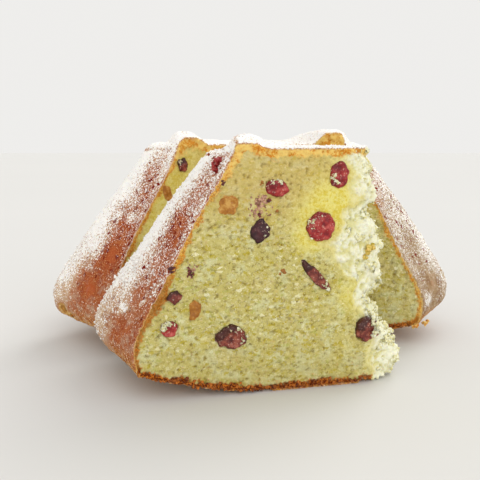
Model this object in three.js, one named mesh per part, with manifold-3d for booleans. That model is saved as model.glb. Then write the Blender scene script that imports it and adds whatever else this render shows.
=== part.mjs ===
// A festive fruit loaf baked in a low eight-pointed star mould and stood on its wide, domed underside.
// Three of its eight points are cut out as a notch, and one of those slices stands just in front of it.
// Millimetres, Z up. Every piece of fruit that shows at a cut is a solid of its own in a fitted pocket.
import * as THREE from 'three';
import { mergeVertices } from 'three/addons/utils/BufferGeometryUtils.js';
import Module from 'manifold-3d';

const manifold = await Module();
manifold.setup();

const lerp = THREE.MathUtils.lerp;
const steps = (count, from, to) => Array.from({ length: count + 1 }, (_, i) => lerp(from, to, i / count));

// ---- The star loaf ----
const POINTS = 8;
const HALF_POINT = Math.PI / POINTS; // angle from a ridge to the valley beside it
const RIDGE_ROUNDING = 0.22; // softness of a ridge, as a share of half a point
const VALLEY_ROUNDING = 0.12;

// Each pair of sizes is [at a ridge, at a valley].
const WIDEST_RADIUS = [120, 96];
const WIDEST_HEIGHT = [27, 23];
const EDGE_RADIUS = [114, 93]; // where the domed underside turns up into the side
const EDGE_HEIGHT = [15.5, 11.5];
const SHOULDER_RADIUS = [66, 51.5];
const SHOULDER_HEIGHT = [107.5, 110.5];
const SIDE_BELLY = [8, 10]; // how gently the side leaves its widest ring
const FLAT_SPOT = 0.36; // share of the underside's radius that lies flat
const DOME_POWER = 1.7; // how suddenly the underside curls up towards its edge
const SHORT_RIDGE = { angle: 5, depth: 3.4, spread: 20 }; // one ridge baked a little shorter than the others
const WIDEST_LEVEL = 0.2; // share of the side's outline below its widest ring

// The top is a shallow dish inside a round rim. Outside the rim each ridge ends in a lower shelf.
// Rim heights are [at a ridge, at a valley]. The rim is at its near height around highAngle, seen from above,
// and falls to its far height over the turn from fallStart to fallEnd. Swells lift it in places,
// and an overhang draws it further out in one direction.
const SHELF_EDGE = [10, 5]; // width of the rounded edge, at a ridge and at a valley
const REST_TOP = {
  dish: 112.5,
  shelf: 113,
  rimInner: [31, 40], // radii where the dish turns up, and where the rim is highest
  rimOuter: [46, 53],
  nearRim: [119.5, 116.5],
  farRim: [114.4, 113.6],
  highAngle: -75,
  fallStart: 100,
  fallEnd: 140,
  swells: [{ angle: 20, height: 3, spread: 15 }, { angle: -22, height: 2.5, spread: 12 }],
  overhang: { angle: 0, depth: 3, spread: 25 },
};
const SLICE_TOP = {
  dish: 112,
  shelf: 110.5,
  rimInner: [34, 43],
  rimOuter: [49, 56],
  nearRim: [117.5, 114.4],
  farRim: [112.5, 112.5],
  highAngle: 135,
  fallStart: 22,
  fallEnd: 42,
  swells: [],
  overhang: { angle: 135, depth: 0, spread: 25 },
};

// ---- The cuts ----
const NOTCH_POINTS = 3;
const REST_TURN = THREE.MathUtils.degToRad(6.2);
const NOTCH_HOLLOW = { start: 11, depth: 5 }; // torn hollow where the two cuts meet
const SLICE_TURN = THREE.MathUtils.degToRad(13);
const SLICE_AXIS = [35.7, -84.9]; // the slice's axis, seen from the axis of the rest

// The slice's thin end is torn. It reaches past the loaf's axis by these amounts.
const REACH_TOP = 18.5;
const REACH_BOTTOM = 35;
const TORN_HEIGHT = 112;
const TORN_DENTS = [
  { height: 0, depth: 4.5, spread: 5.5 },
  { height: 29, depth: 2, spread: 8 },
  { height: 40, depth: 9, spread: 12 },
  { height: 70, depth: 4, spread: 18 },
  { height: 82, depth: 5, spread: 3.5 },
  { height: 106, depth: 3, spread: 14 },
];
const TORN_DEPTH = 16; // length of the ragged face, seen from the front
const BACK_CUT_END = [15, 20]; // a point on the slice's second cut, halfway up its torn end

const CUT_MARGIN = 10; // how far the cutting shapes run past the loaf
const FRUIT_GAP = 0.4;

const TALLEST = 122;

// ---- Fineness of the faceted solids ----
const SEGMENTS = 96; // round the whole loaf
const TORN_LEVELS = 14; // up the slice's torn end
const LARGE_FRUIT = 130; // width times height past which a fruit has the finer lump
const SAME_POINT = 1e-3;
// Where the outline has a ring of points: shares of the radius below, levels up the side, shares on top.
const UNDERSIDE_RINGS = [0, 0.2, FLAT_SPOT, ...steps(5, 0.5, 0.97)];
const SIDE_RINGS = [...steps(4, 0, WIDEST_LEVEL), ...steps(7, 0.28, 1).slice(0, -1)];
const CROWN_RINGS = [1, 0.985, 0.95, ...steps(7, 0.9, 0.48), 0.3, 0];

const FINISH = {
  loaf: { color: 0xdccb8a, roughness: 0.9 },
  cranberry: { color: 0x8c2a26, roughness: 0.35 },
  raisin: { color: 0x4a2426, roughness: 0.45 },
  peel: { color: 0xd99a45, roughness: 0.4 },
};

const between = (pair, valleyness) => lerp(pair[0], pair[1], valleyness);

function smoothStep(value, from, to) {
  return THREE.MathUtils.smoothstep(value, from, to);
}

// A corner rounded off: rises from 0 to 1, level at its start.
function softened(value, rounding) {
  const curve = (v) => Math.hypot(v, rounding) - rounding;
  return curve(value) / curve(1);
}

// 0 along a ridge and 1 along a valley.
function valleyness(angle) {
  const turn = Math.abs(THREE.MathUtils.euclideanModulo(angle + HALF_POINT, 2 * HALF_POINT) - HALF_POINT);
  return 1 - softened(1 - softened(turn / HALF_POINT, RIDGE_ROUNDING), VALLEY_ROUNDING);
}

// The straight side of a star point between its ridge and its valley, in polar form.
function starRadius(pair, v) {
  const turn = v * HALF_POINT;
  const reach = pair[0] * Math.sin(turn) + pair[1] * Math.sin(HALF_POINT - turn);
  return (pair[0] * pair[1] * Math.sin(HALF_POINT)) / reach;
}

// The baked surface's slow waves, a millimetre or so: round the loaf, and up its side.
function unevenness(angle, height) {
  const round = Math.sin(3 * angle + 0.02 * height + 1.3) + Math.sin(5 * angle - 0.7);
  const upright = Math.sin(2 * angle + 0.11 * height);
  return 0.45 * round + 0.5 * upright - SHORT_RIDGE.depth * nearness(angle, SHORT_RIDGE);
}

function undersidePoint(share, angle) {
  const v = valleyness(angle);
  const rise = Math.max(0, (share - FLAT_SPOT) / (1 - FLAT_SPOT));
  return {
    radius: share * starRadius(EDGE_RADIUS, v),
    height: between(EDGE_HEIGHT, v) * rise ** DOME_POWER,
  };
}

// level runs from 0 at the underside's edge to 1 at the shoulder, and passes the widest ring on the way.
function sidePoint(level, angle) {
  const v = valleyness(angle);
  const widest = starRadius(WIDEST_RADIUS, v);
  const ring = between(WIDEST_HEIGHT, v);
  if (level < WIDEST_LEVEL) {
    const turn = (level / WIDEST_LEVEL) * (Math.PI / 2);
    const edge = starRadius(EDGE_RADIUS, v);
    return {
      radius: lerp(edge, widest, Math.sin(turn)),
      height: lerp(ring, between(EDGE_HEIGHT, v), Math.cos(turn)),
    };
  }
  const rise = (between(SHOULDER_HEIGHT, v) - ring) * ((level - WIDEST_LEVEL) / (1 - WIDEST_LEVEL));
  const belly = between(SIDE_BELLY, v);
  const full = between(SHOULDER_HEIGHT, v) - ring;
  const lean = (value) => Math.hypot(value, belly) - belly;
  const shoulder = starRadius(SHOULDER_RADIUS, v);
  return { radius: lerp(widest, shoulder, lean(rise) / lean(full)), height: ring + rise };
}

// The turn between two directions, in degrees.
function turnBetween(angle, degrees) {
  const turn = THREE.MathUtils.radToDeg(angle) - degrees;
  return Math.abs(THREE.MathUtils.euclideanModulo(turn + 180, 360) - 180);
}

// 1 in one direction, and fading to 0 as the angle turns away from it.
const nearness = (angle, place) => Math.exp(-((turnBetween(angle, place.angle) / place.spread) ** 2));

function rimHeight(angle, v, top) {
  const fallen = smoothStep(turnBetween(angle, top.highAngle), top.fallStart, top.fallEnd);
  const swollen = top.swells.reduce((sum, swell) => sum + swell.height * nearness(angle, swell), 0);
  return lerp(between(top.nearRim, v), between(top.farRim, v), fallen) + swollen;
}

function topPoint(share, angle, top) {
  const v = valleyness(angle);
  const shoulder = starRadius(SHOULDER_RADIUS, v);
  const radius = share * shoulder;
  const rim = rimHeight(angle, v, top);
  if (radius < top.rimInner[1]) {
    return { radius, height: lerp(top.dish, rim, smoothStep(radius, ...top.rimInner)) };
  }
  const edge = between(SHELF_EDGE, v);
  const fall = THREE.MathUtils.clamp((radius - shoulder + edge) / edge, 0, 1);
  const shelf = lerp(between(SHOULDER_HEIGHT, v), Math.min(top.shelf, rim), Math.sqrt(1 - fall * fall));
  const further = top.overhang.depth * nearness(angle, top.overhang);
  const [from, to] = top.rimOuter;
  return { radius, height: lerp(rim, shelf, smoothStep(radius, from + further, Math.min(to + further, shoulder))) };
}

// Merges a geometry's shared points and drops the triangles that a pole folds flat.
function closed(geometry) {
  const bare = geometry.index ? geometry.toNonIndexed() : geometry.clone();
  bare.deleteAttribute('normal');
  bare.deleteAttribute('uv');
  const merged = mergeVertices(bare, SAME_POINT);
  const kept = [];
  const index = merged.index.array;
  for (let i = 0; i < index.length; i += 3) {
    const [a, b, c] = index.subarray(i, i + 3);
    if (a !== b && b !== c && c !== a) kept.push(a, b, c);
  }
  merged.setIndex(kept);
  return merged;
}

function toSolid(geometry) {
  const shape = closed(geometry);
  return new manifold.Manifold(
    new manifold.Mesh({
      numProp: 3,
      vertProperties: Float32Array.from(shape.attributes.position.array),
      triVerts: Uint32Array.from(shape.index.array),
    }),
  );
}

function toGeometry(solid) {
  const { vertProperties, triVerts } = solid.getMesh();
  const geometry = new THREE.BufferGeometry();
  geometry.setAttribute('position', new THREE.BufferAttribute(vertProperties, 3));
  geometry.setIndex(new THREE.BufferAttribute(triVerts, 1));
  return geometry;
}

// Calls move(point) on every vertex of a geometry.
function reshape(geometry, move) {
  const places = geometry.attributes.position;
  const point = new THREE.Vector3();
  for (let i = 0; i < places.count; i += 1) {
    point.fromBufferAttribute(places, i);
    move(point);
    places.setXYZ(i, point.x, point.y, point.z);
  }
  return geometry;
}

// The whole loaf before any cut: a plain can turned on a lathe, then drawn out to the star's form.
function starLoaf(top) {
  const outline = [
    ...UNDERSIDE_RINGS.map((share) => new THREE.Vector2(share, -1)),
    ...SIDE_RINGS.map((level) => new THREE.Vector2(1, level)),
    ...CROWN_RINGS.map((share) => new THREE.Vector2(share, 2)),
  ];
  return reshape(new THREE.LatheGeometry(outline, SEGMENTS), (point) => {
    const stage = point.y;
    const share = Math.hypot(point.x, point.z);
    const angle = Math.atan2(-point.z, point.x);
    let ring = sidePoint(stage, angle);
    if (stage < -0.5) ring = undersidePoint(share, angle);
    if (stage > 1.5) ring = topPoint(share, angle, top);
    const radius = ring.radius + unevenness(angle, ring.height) * share;
    point.set(radius * Math.cos(angle), radius * Math.sin(angle), ring.height);
  });
}

function prism(outline, levels) {
  const shape = new THREE.Shape(outline.map(([x, y]) => new THREE.Vector2(x, y)));
  const depth = TALLEST + 2 * CUT_MARGIN;
  const geometry = new THREE.ExtrudeGeometry(shape, { depth, steps: levels, bevelEnabled: false });
  return geometry.translate(0, 0, -CUT_MARGIN);
}

const polar = (radius, angle) => [radius * Math.cos(angle), radius * Math.sin(angle)];

// The notch spans three whole points, from valley to valley, and faces -Y.
function notch() {
  const far = 2 * WIDEST_RADIUS[0];
  const half = NOTCH_POINTS * HALF_POINT;
  const down = -Math.PI / 2;
  const left = down - half;
  const right = down + half;
  const { start, depth } = NOTCH_HOLLOW;
  const outside = [polar(far, left), polar(far, down), polar(far, right)];
  const hollow = [[start / 2, depth / 3], [0, depth], [-start / 2, depth / 3]];
  return prism([...outside, polar(start, right), ...hollow, polar(start, left)], 1);
}

function tornReach(height) {
  const share = THREE.MathUtils.clamp(height / TORN_HEIGHT, 0, 1);
  return TORN_DENTS.reduce(
    (reach, dent) => reach - dent.depth * Math.exp(-(((height - dent.height) / dent.spread) ** 2)),
    lerp(REACH_BOTTOM, REACH_TOP, share),
  );
}

// The slice's front cut is the plane y = 0 and its crust is on the -X side.
// The second cut runs back from the torn end to the next valley.
const FAR_VALLEY = polar(WIDEST_RADIUS[1], Math.PI - 2 * HALF_POINT);
const BACK_RUN = [FAR_VALLEY[0] - BACK_CUT_END[0], FAR_VALLEY[1] - BACK_CUT_END[1]];
const BACK_SLOPE = BACK_RUN[1] / BACK_RUN[0];
const BACK_ANGLE = Math.atan2(BACK_RUN[1], BACK_RUN[0]);
const backCut = (x) => BACK_CUT_END[1] + BACK_SLOPE * (x - BACK_CUT_END[0]);

// The torn face in plan: how far each point is from the tip, and its share of the slice's thickness there.
const TORN_FACE = [[-1, 0], [-0.55, 0.12], [-0.2, 0.26], [-0.02, 0.45], [0, 0.62], [-0.1, 0.82], [-0.3, 1]];

// The ragged steps of the tear, greatest in the middle of the slice's thickness.
function jag(height, share) {
  const wide = Math.sin(0.55 * height + 9 * share);
  const narrow = Math.sin(1.3 * height - 5 * share);
  return Math.sin(Math.PI * share) * (1.6 * wide + 1.1 * narrow);
}

// A block with the torn face in plan at its near end. Each torn column holds its number in TORN_FACE as y
// until it is moved to its place.
function sliceCutter() {
  const far = -2 * WIDEST_RADIUS[0];
  const torn = TORN_FACE.map(([x], i) => [x * TORN_DEPTH, i]);
  const cutter = prism([[far, 0], ...torn, [far, backCut(far)]], TORN_LEVELS);
  return reshape(cutter, (point) => {
    if (point.x < -TORN_DEPTH - 1) return;
    const [, share] = TORN_FACE[Math.round(point.y)];
    point.x += tornReach(point.z) + jag(point.z, share);
    point.y = share * backCut(point.x);
  });
}

// ---- Fruit ----
const FRUIT_PROUD = 1.2; // how far a fruit stands out of the cut
const FRUIT_DEPTH = 0.42; // how deep it goes, as a share of its lesser side
const kindOf = (fruit) => fruit.name.split('_')[0];
const FRUIT_FORM = {
  cranberry: { squareness: 1, wrinkle: 0.04 },
  raisin: { squareness: 1, wrinkle: 0.07 },
  peel: { squareness: 0.75, wrinkle: 0.04 },
};

// A lump with its middle on the cut face: round towards the crumb, and only a little proud of the cut.
// grow adds an even margin, for the pocket that the lump sits in.
function lump(fruit, seed, grow = 0) {
  const { width, height, proud = FRUIT_PROUD, tilt = 0 } = fruit;
  const { depth = FRUIT_DEPTH * Math.min(width, height) } = fruit;
  const { squareness, wrinkle } = FRUIT_FORM[kindOf(fruit)];
  const fineness = width * height > LARGE_FRUIT ? 2 : 1;
  const ball = closed(new THREE.IcosahedronGeometry(1, fineness));
  const boxed = (value) => Math.sign(value) * Math.abs(value) ** squareness;
  const shaped = reshape(ball, (point) => {
    const across = Math.sin(4 * point.x + seed) + Math.sin(5 * point.z - 2 * seed);
    const inward = Math.sin(3 * point.y + 3 * seed);
    const radius = 1 + wrinkle * (across + inward);
    const deep = point.y > 0 ? depth : proud;
    point.set(
      boxed(point.x) * radius * (width / 2) + point.x * grow,
      boxed(point.y) * radius * deep + point.y * grow,
      boxed(point.z) * radius * (height / 2) + point.z * grow,
    );
  });
  return shaped.rotateY(THREE.MathUtils.degToRad(tilt));
}

// Each fruit's name starts with its kind.
// along is measured on the cut face from the loaf's axis, and up from the surface it stands on.
const SLICE_FRONT_FRUIT = [
  { name: 'cranberry_tip_high', along: 2, up: 100, width: 8.5, height: 12.5 },
  { name: 'cranberry_high', along: 31, up: 94, width: 12, height: 7.5, tilt: 8 },
  { name: 'cranberry_round', along: 10.5, up: 76.5, width: 13.5, height: 13.5, proud: 1.8 },
  { name: 'raisin_high', along: 39, up: 75.5, width: 8, height: 10, tilt: 12 },
  { name: 'peel_high', along: 53, up: 87, width: 9.5, height: 9.5, proud: 0.6 },
  { name: 'raisin_long', along: 12.5, up: 53.5, width: 17, height: 5.5, tilt: 48 },
  { name: 'raisin_low', along: 51.5, up: 27.5, width: 15, height: 11, tilt: 15, proud: 1.6 },
  { name: 'raisin_torn_edge', along: -14, up: 27, width: 12, height: 11, proud: 2.6, depth: 4 },
  { name: 'cranberry_low', along: 80, up: 33, width: 8, height: 7 },
  { name: 'raisin_crust_low', along: 77.5, up: 47.5, width: 6, height: 5.5 },
  { name: 'peel_low', along: 68.5, up: 41, width: 5.5, height: 9.5, tilt: 8, proud: 0.6 },
];
const REST_LEFT_FRUIT = [
  { name: 'raisin_rest_high', along: 48, up: 101.5, width: 6, height: 7.5 },
  { name: 'peel_rest_high', along: 57.5, up: 86.5, width: 5, height: 9.5, tilt: -22, proud: 0.6 },
  { name: 'cranberry_rest_left', along: 34, up: 58, width: 12, height: 9, tilt: 20 },
  { name: 'raisin_rest_left', along: 66, up: 36, width: 10, height: 8, tilt: -15 },
];
const REST_RIGHT_FRUIT = [
  { name: 'cranberry_rest_right', along: 24, up: 83, width: 10, height: 12 },
  { name: 'raisin_rest_right', along: 49, up: 60, width: 12, height: 7, tilt: 30 },
  { name: 'peel_rest_right', along: 30, up: 40, width: 8, height: 8, tilt: 20, proud: 0.6 },
  { name: 'raisin_rest_low', along: 56, up: 24, width: 9, height: 9 },
];
const SLICE_BACK_FRUIT = [
  { name: 'cranberry_back_high', along: 62, up: 88, width: 11, height: 9, tilt: -20 },
  { name: 'raisin_back_mid', along: 88, up: 62, width: 9, height: 11 },
  { name: 'cranberry_back_mid', along: 52, up: 49, width: 12, height: 11 },
  { name: 'peel_back_low', along: 99, up: 34, width: 8, height: 7, tilt: 25, proud: 0.6 },
  { name: 'raisin_back_low', along: 70, up: 22, width: 13, height: 8, tilt: 10 },
];

function material(kind) {
  return new THREE.MeshStandardMaterial({ ...FINISH[kind], metalness: 0 });
}

// A face is a group whose X runs along the cut, Y into the crumb and Z up. side turns "along" into X.
function cutFace(angle, side, fruits, start = [0, 0]) {
  const face = new THREE.Group();
  face.position.set(start[0], start[1], 0);
  face.rotation.z = angle;
  fruits.forEach((fruit, seed) => {
    const piece = new THREE.Mesh(lump(fruit, seed), material(kindOf(fruit)));
    piece.name = fruit.name;
    piece.position.set(side * fruit.along, 0, fruit.up);
    face.add(piece);
  });
  face.updateMatrixWorld(true);
  face.userData.pockets = fruits.map((fruit, seed) => {
    const pocket = lump(fruit, seed, FRUIT_GAP);
    return pocket.translate(side * fruit.along, 0, fruit.up).applyMatrix4(face.matrixWorld);
  });
  return face;
}

function emptied(body, faces) {
  const pockets = faces.flatMap((face) => face.userData.pockets);
  return pockets.reduce((solid, pocket) => solid.subtract(toSolid(pocket)), body);
}

function portion(name, body, faces) {
  const group = new THREE.Group();
  const crumb = new THREE.Mesh(toGeometry(emptied(body, faces)), material('loaf'));
  crumb.name = name;
  group.add(crumb, ...faces);
  return group;
}

function restOfLoaf() {
  const body = toSolid(starLoaf(REST_TOP)).subtract(toSolid(notch()));
  const half = NOTCH_POINTS * HALF_POINT;
  const leftWall = cutFace(Math.PI / 2 - half, -1, REST_LEFT_FRUIT);
  const rightWall = cutFace(half - Math.PI / 2, 1, REST_RIGHT_FRUIT);
  const group = portion('cake_rest', body, [leftWall, rightWall]);
  group.rotation.z = REST_TURN;
  return group;
}

function standingSlice() {
  const loaf = starLoaf(SLICE_TOP).rotateZ(HALF_POINT);
  const body = toSolid(loaf).intersect(toSolid(sliceCutter()));
  const backStart = [BACK_CUT_END[0] - BACK_CUT_END[1] / BACK_SLOPE, 0];
  const front = cutFace(0, -1, SLICE_FRONT_FRUIT);
  const back = cutFace(BACK_ANGLE, 1, SLICE_BACK_FRUIT, backStart);
  const group = portion('cake_slice', body, [front, back]);
  group.rotation.z = SLICE_TURN;
  group.position.set(SLICE_AXIS[0], SLICE_AXIS[1], 0);
  return group;
}

const loaf = new THREE.Group();
loaf.add(restOfLoaf(), standingSlice());

// The frame's origin is the middle of the whole loaf's footprint.
const extent = new THREE.Box3().setFromObject(loaf, true);
const middle = extent.getCenter(new THREE.Vector3());
loaf.position.set(-middle.x, -middle.y, -extent.min.z);

export default loaf;
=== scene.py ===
"""A cut festive fruit loaf: the rest of a star-shaped loaf, and one slice standing in front of its notch."""
import math
import random

import bmesh
import bpy
from bpy.props import FloatProperty, FloatVectorProperty, IntProperty, PointerProperty
from mathutils import Matrix, Vector, noise


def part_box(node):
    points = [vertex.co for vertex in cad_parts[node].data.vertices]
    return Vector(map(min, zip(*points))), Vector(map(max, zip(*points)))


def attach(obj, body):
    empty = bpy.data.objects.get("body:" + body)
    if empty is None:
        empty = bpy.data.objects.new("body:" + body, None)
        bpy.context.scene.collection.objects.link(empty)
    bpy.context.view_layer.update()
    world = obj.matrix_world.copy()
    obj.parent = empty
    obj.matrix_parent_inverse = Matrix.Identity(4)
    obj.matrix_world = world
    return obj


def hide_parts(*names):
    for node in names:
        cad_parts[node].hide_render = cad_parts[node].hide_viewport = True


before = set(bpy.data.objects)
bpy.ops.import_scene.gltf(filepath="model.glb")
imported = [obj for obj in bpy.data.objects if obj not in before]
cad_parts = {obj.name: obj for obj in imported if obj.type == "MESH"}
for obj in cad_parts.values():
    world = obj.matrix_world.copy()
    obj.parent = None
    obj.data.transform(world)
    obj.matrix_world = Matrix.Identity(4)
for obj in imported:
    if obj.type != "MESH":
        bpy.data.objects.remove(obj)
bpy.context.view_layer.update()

bl_info = {
    "name": "Cut Fruit Loaf",
    "version": (1, 0, 0),
    "blender": (4, 5, 0),
    "location": "View3D > Sidebar > Fruit Loaf",
    "description": "Builds a cut star-shaped fruit loaf with a slice standing in front of it",
    "category": "Add Mesh",
}

BODY = "root"
NOISE_SEED = 1
CRUMB_SEED = 11
SUGAR_SEED = 23
BITS_SEED = 5
noise.seed_set(NOISE_SEED)  # without it the small lumps differ from run to run

# ---- The loaf's outer form, as its solids have it (metres, about the loaf's own upright axis) ----
# Each pair is [at a ridge, at a valley].
POINTS = 8
HALF_POINT = math.pi / POINTS
RIDGE_ROUNDING = 0.22
VALLEY_ROUNDING = 0.12
WIDEST_RADIUS = (0.120, 0.096)
WIDEST_HEIGHT = (0.027, 0.023)
EDGE_RADIUS = (0.114, 0.093)
EDGE_HEIGHT = (0.0155, 0.0115)
SHOULDER_RADIUS = (0.066, 0.0515)
SHOULDER_HEIGHT = (0.1075, 0.1105)
SIDE_BELLY = (0.008, 0.010)
FLAT_SPOT = 0.36
DOME_POWER = 1.7
WIDEST_LEVEL = 0.2
SHELF_EDGE = (0.010, 0.005)
SHORT_RIDGE = {"angle": 5, "depth": 0.0034, "spread": 20}  # one ridge is a little shorter than the others
REST_TOP = {
    "dish": 0.1125,
    "shelf": 0.113,
    "rim_inner": (0.031, 0.040),
    "rim_outer": (0.046, 0.053),
    "near_rim": (0.1195, 0.1165),
    "far_rim": (0.1144, 0.1136),
    "high_angle": -75,
    "fall": (100, 140),
    "swells": ({"angle": 20, "height": 0.003, "spread": 15}, {"angle": -22, "height": 0.0025, "spread": 12}),
    "overhang": {"angle": 0, "depth": 0.003, "spread": 25},
}
SLICE_TOP = {
    "dish": 0.112,
    "shelf": 0.1105,
    "rim_inner": (0.034, 0.043),
    "rim_outer": (0.049, 0.056),
    "near_rim": (0.1175, 0.1144),
    "far_rim": (0.1125, 0.1125),
    "high_angle": 135,
    "fall": (22, 42),
    "swells": (),
    "overhang": {"angle": 135, "depth": 0.0, "spread": 25},
}

# ---- The cuts ----
NOTCH_POINTS = 3
REST_TURN = math.radians(6.2)
NOTCH_HOLLOW = {"start": 0.011, "depth": 0.005, "fade": 0.020}
SLICE_TURN = math.radians(13)
SLICE_STEP = Vector((0.0357, -0.0849, 0))  # from the axis of the rest to the slice's
TORN_HEIGHT = 0.112
TORN_REACH = (0.035, 0.0185)  # how far the torn end reaches past the axis, at its foot and at its top
# Each dent in the torn end: height, depth, spread
TORN_DENTS = (
    (0.0, 0.0045, 0.0055), (0.029, 0.002, 0.008), (0.040, 0.009, 0.012), (0.070, 0.004, 0.018),
    (0.082, 0.005, 0.0035), (0.106, 0.003, 0.014))
TORN_DEPTH = 0.016
# The torn end from the front of the slice to its back: shares of the depth, at shares of the thickness
TORN_FACE = ((-1, 0), (-0.55, 0.12), (-0.2, 0.26), (-0.02, 0.45), (0, 0.62), (-0.1, 0.82), (-0.3, 1))
# How far the fluffy crumb reaches back along the slice's front from its furthest reach: heights and distances
TORN_BREADTH = (
    (0.0, 0.017), (0.018, 0.018), (0.030, 0.013), (0.049, 0.012), (0.057, 0.025), (0.068, 0.030),
    (0.077, 0.020), (0.085, 0.014), (0.098, 0.014), (0.107, 0.018), (0.120, 0.020))
TORN_START = -0.012  # where the slice starts to be drawn out to its torn end
BACK_CUT_END = (0.015, 0.020)
PLAIN_END = 0.040  # the slice's end before it is torn

SIDE_LEAN = 0.82  # cosine of the side's lean, which turns a level distance into one across the crust
SAME_POINT = 1e-5

# ---- The outline that is spun is a plain can's: shares of the radius at its ends, levels up its side ----
UNDERSIDE, CROWN = -1, 2  # heights in the can that mark its two ends
UNDERSIDE_RINGS = (0, 0.2, 0.36, 0.45, 0.55, 0.65, 0.75, 0.85, 0.92, 0.97)
SIDE_RINGS = 26
CROWN_RINGS = 44
SPIN_STEP = math.radians(2.25)


def tone(code):
    """A colour code such as F0E0A0 as the linear values that materials use."""
    shares = [int(code[i:i + 2], 16) / 255 for i in (0, 2, 4)]
    return [share / 12.92 if share <= 0.04045 else ((share + 0.055) / 1.055) ** 2.4 for share in shares]


def lerp(start, end, share):
    return start + (end - start) * share


def between(pair, valley):
    return pair[0] + (pair[1] - pair[0]) * valley


def clamp(value, low=0.0, high=1.0):
    return min(high, max(low, value))


def smooth_step(value, low, high):
    share = clamp((value - low) / (high - low))
    return share * share * (3 - 2 * share)


def softened(value, rounding):
    """A corner rounded off: rises from 0 to 1, level at its start."""
    return (math.hypot(value, rounding) - rounding) / (math.hypot(1, rounding) - rounding)


def valleyness(angle):
    """0 along a ridge of the star and 1 along a valley."""
    turn = abs((angle + HALF_POINT) % (2 * HALF_POINT) - HALF_POINT)
    return 1 - softened(1 - softened(turn / HALF_POINT, RIDGE_ROUNDING), VALLEY_ROUNDING)


def star_radius(pair, valley):
    """The straight side of a star point between its ridge and its valley, in polar form."""
    turn = valley * HALF_POINT
    reach = pair[0] * math.sin(turn) + pair[1] * math.sin(HALF_POINT - turn)
    return pair[0] * pair[1] * math.sin(HALF_POINT) / reach


def turn_between(angle, degrees):
    return abs((math.degrees(angle) - degrees + 180) % 360 - 180)


def nearness(angle, place):
    """1 in one direction, and fading to 0 as the angle turns away from it."""
    return math.exp(-(turn_between(angle, place["angle"]) / place["spread"]) ** 2)


def unevenness(angle, height):
    """The baked surface's slow waves, a millimetre or so, and its short ridge."""
    level = height * 1000
    around = math.sin(3 * angle + 0.02 * level + 1.3) + math.sin(5 * angle - 0.7)
    waves = 0.00045 * around + 0.0005 * math.sin(2 * angle + 0.11 * level)
    return waves - SHORT_RIDGE["depth"] * nearness(angle, SHORT_RIDGE)


def underside_height(share, valley):
    rise = max(0.0, (share - FLAT_SPOT) / (1 - FLAT_SPOT))
    return between(EDGE_HEIGHT, valley) * rise ** DOME_POWER


def side_height(level, valley):
    """Height at a level of the side, from 0 at the underside's edge to 1 at the shoulder."""
    ring = between(WIDEST_HEIGHT, valley)
    if level < WIDEST_LEVEL:
        return lerp(ring, between(EDGE_HEIGHT, valley), math.cos(level / WIDEST_LEVEL * math.pi / 2))
    return lerp(ring, between(SHOULDER_HEIGHT, valley), (level - WIDEST_LEVEL) / (1 - WIDEST_LEVEL))


def side_radius(height, valley):
    widest = star_radius(WIDEST_RADIUS, valley)
    ring = between(WIDEST_HEIGHT, valley)
    if height < ring:
        fall = clamp((ring - height) / (ring - between(EDGE_HEIGHT, valley)))
        return lerp(star_radius(EDGE_RADIUS, valley), widest, math.sqrt(1 - fall * fall))
    belly = between(SIDE_BELLY, valley)
    full = between(SHOULDER_HEIGHT, valley) - ring
    rise = min(height - ring, full)
    lean = (math.hypot(rise, belly) - belly) / (math.hypot(full, belly) - belly)
    return lerp(widest, star_radius(SHOULDER_RADIUS, valley), lean)


def top_height(radius, angle, valley, top):
    fallen = smooth_step(turn_between(angle, top["high_angle"]), *top["fall"])
    lift = sum(swell["height"] * nearness(angle, swell) for swell in top["swells"])
    rim = lerp(between(top["near_rim"], valley), between(top["far_rim"], valley), fallen) + lift
    if radius < top["rim_inner"][1]:
        return lerp(top["dish"], rim, smooth_step(radius, *top["rim_inner"]))
    shoulder = star_radius(SHOULDER_RADIUS, valley)
    edge = between(SHELF_EDGE, valley)
    fall = clamp((radius - shoulder + edge) / edge)
    shelf = lerp(between(SHOULDER_HEIGHT, valley), min(top["shelf"], rim), math.sqrt(1 - fall * fall))
    further = top["overhang"]["depth"] * nearness(angle, top["overhang"])
    start, end = top["rim_outer"]
    return lerp(rim, shelf, smooth_step(radius, start + further, min(end + further, shoulder)))


def torn_reach(height):
    """How far the torn end reaches past the loaf's axis at a height."""
    reach = lerp(*TORN_REACH, clamp(height / TORN_HEIGHT))
    return reach - sum(depth * math.exp(-((height - at) / spread) ** 2) for at, depth, spread in TORN_DENTS)


def torn_breadth(height):
    for (low, near), (high, far) in zip(TORN_BREADTH, TORN_BREADTH[1:]):
        if height <= high:
            return lerp(near, far, (height - low) / (high - low))
    return TORN_BREADTH[-1][1]


def back_cut(x):
    """Where the slice's second cut is, behind its front cut."""
    valley = WIDEST_RADIUS[1]
    far_x, far_y = valley * math.cos(6 * HALF_POINT), valley * math.sin(6 * HALF_POINT)
    slope = (far_y - BACK_CUT_END[1]) / (far_x - BACK_CUT_END[0])
    return BACK_CUT_END[1] + slope * (x - BACK_CUT_END[0])


BACK_SLOPE = back_cut(1) - back_cut(0)
BACK_ANGLE = math.atan2(-BACK_SLOPE, -1)


def torn_x(share, height):
    """The torn end's place along the slice, at a share of its thickness."""
    for (x0, share0), (x1, share1) in zip(TORN_FACE, TORN_FACE[1:]):
        if share <= share1:
            return lerp(x0, x1, (share - share0) / (share1 - share0)) * TORN_DEPTH + torn_reach(height)
    return TORN_FACE[-1][0] * TORN_DEPTH + torn_reach(height)


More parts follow.
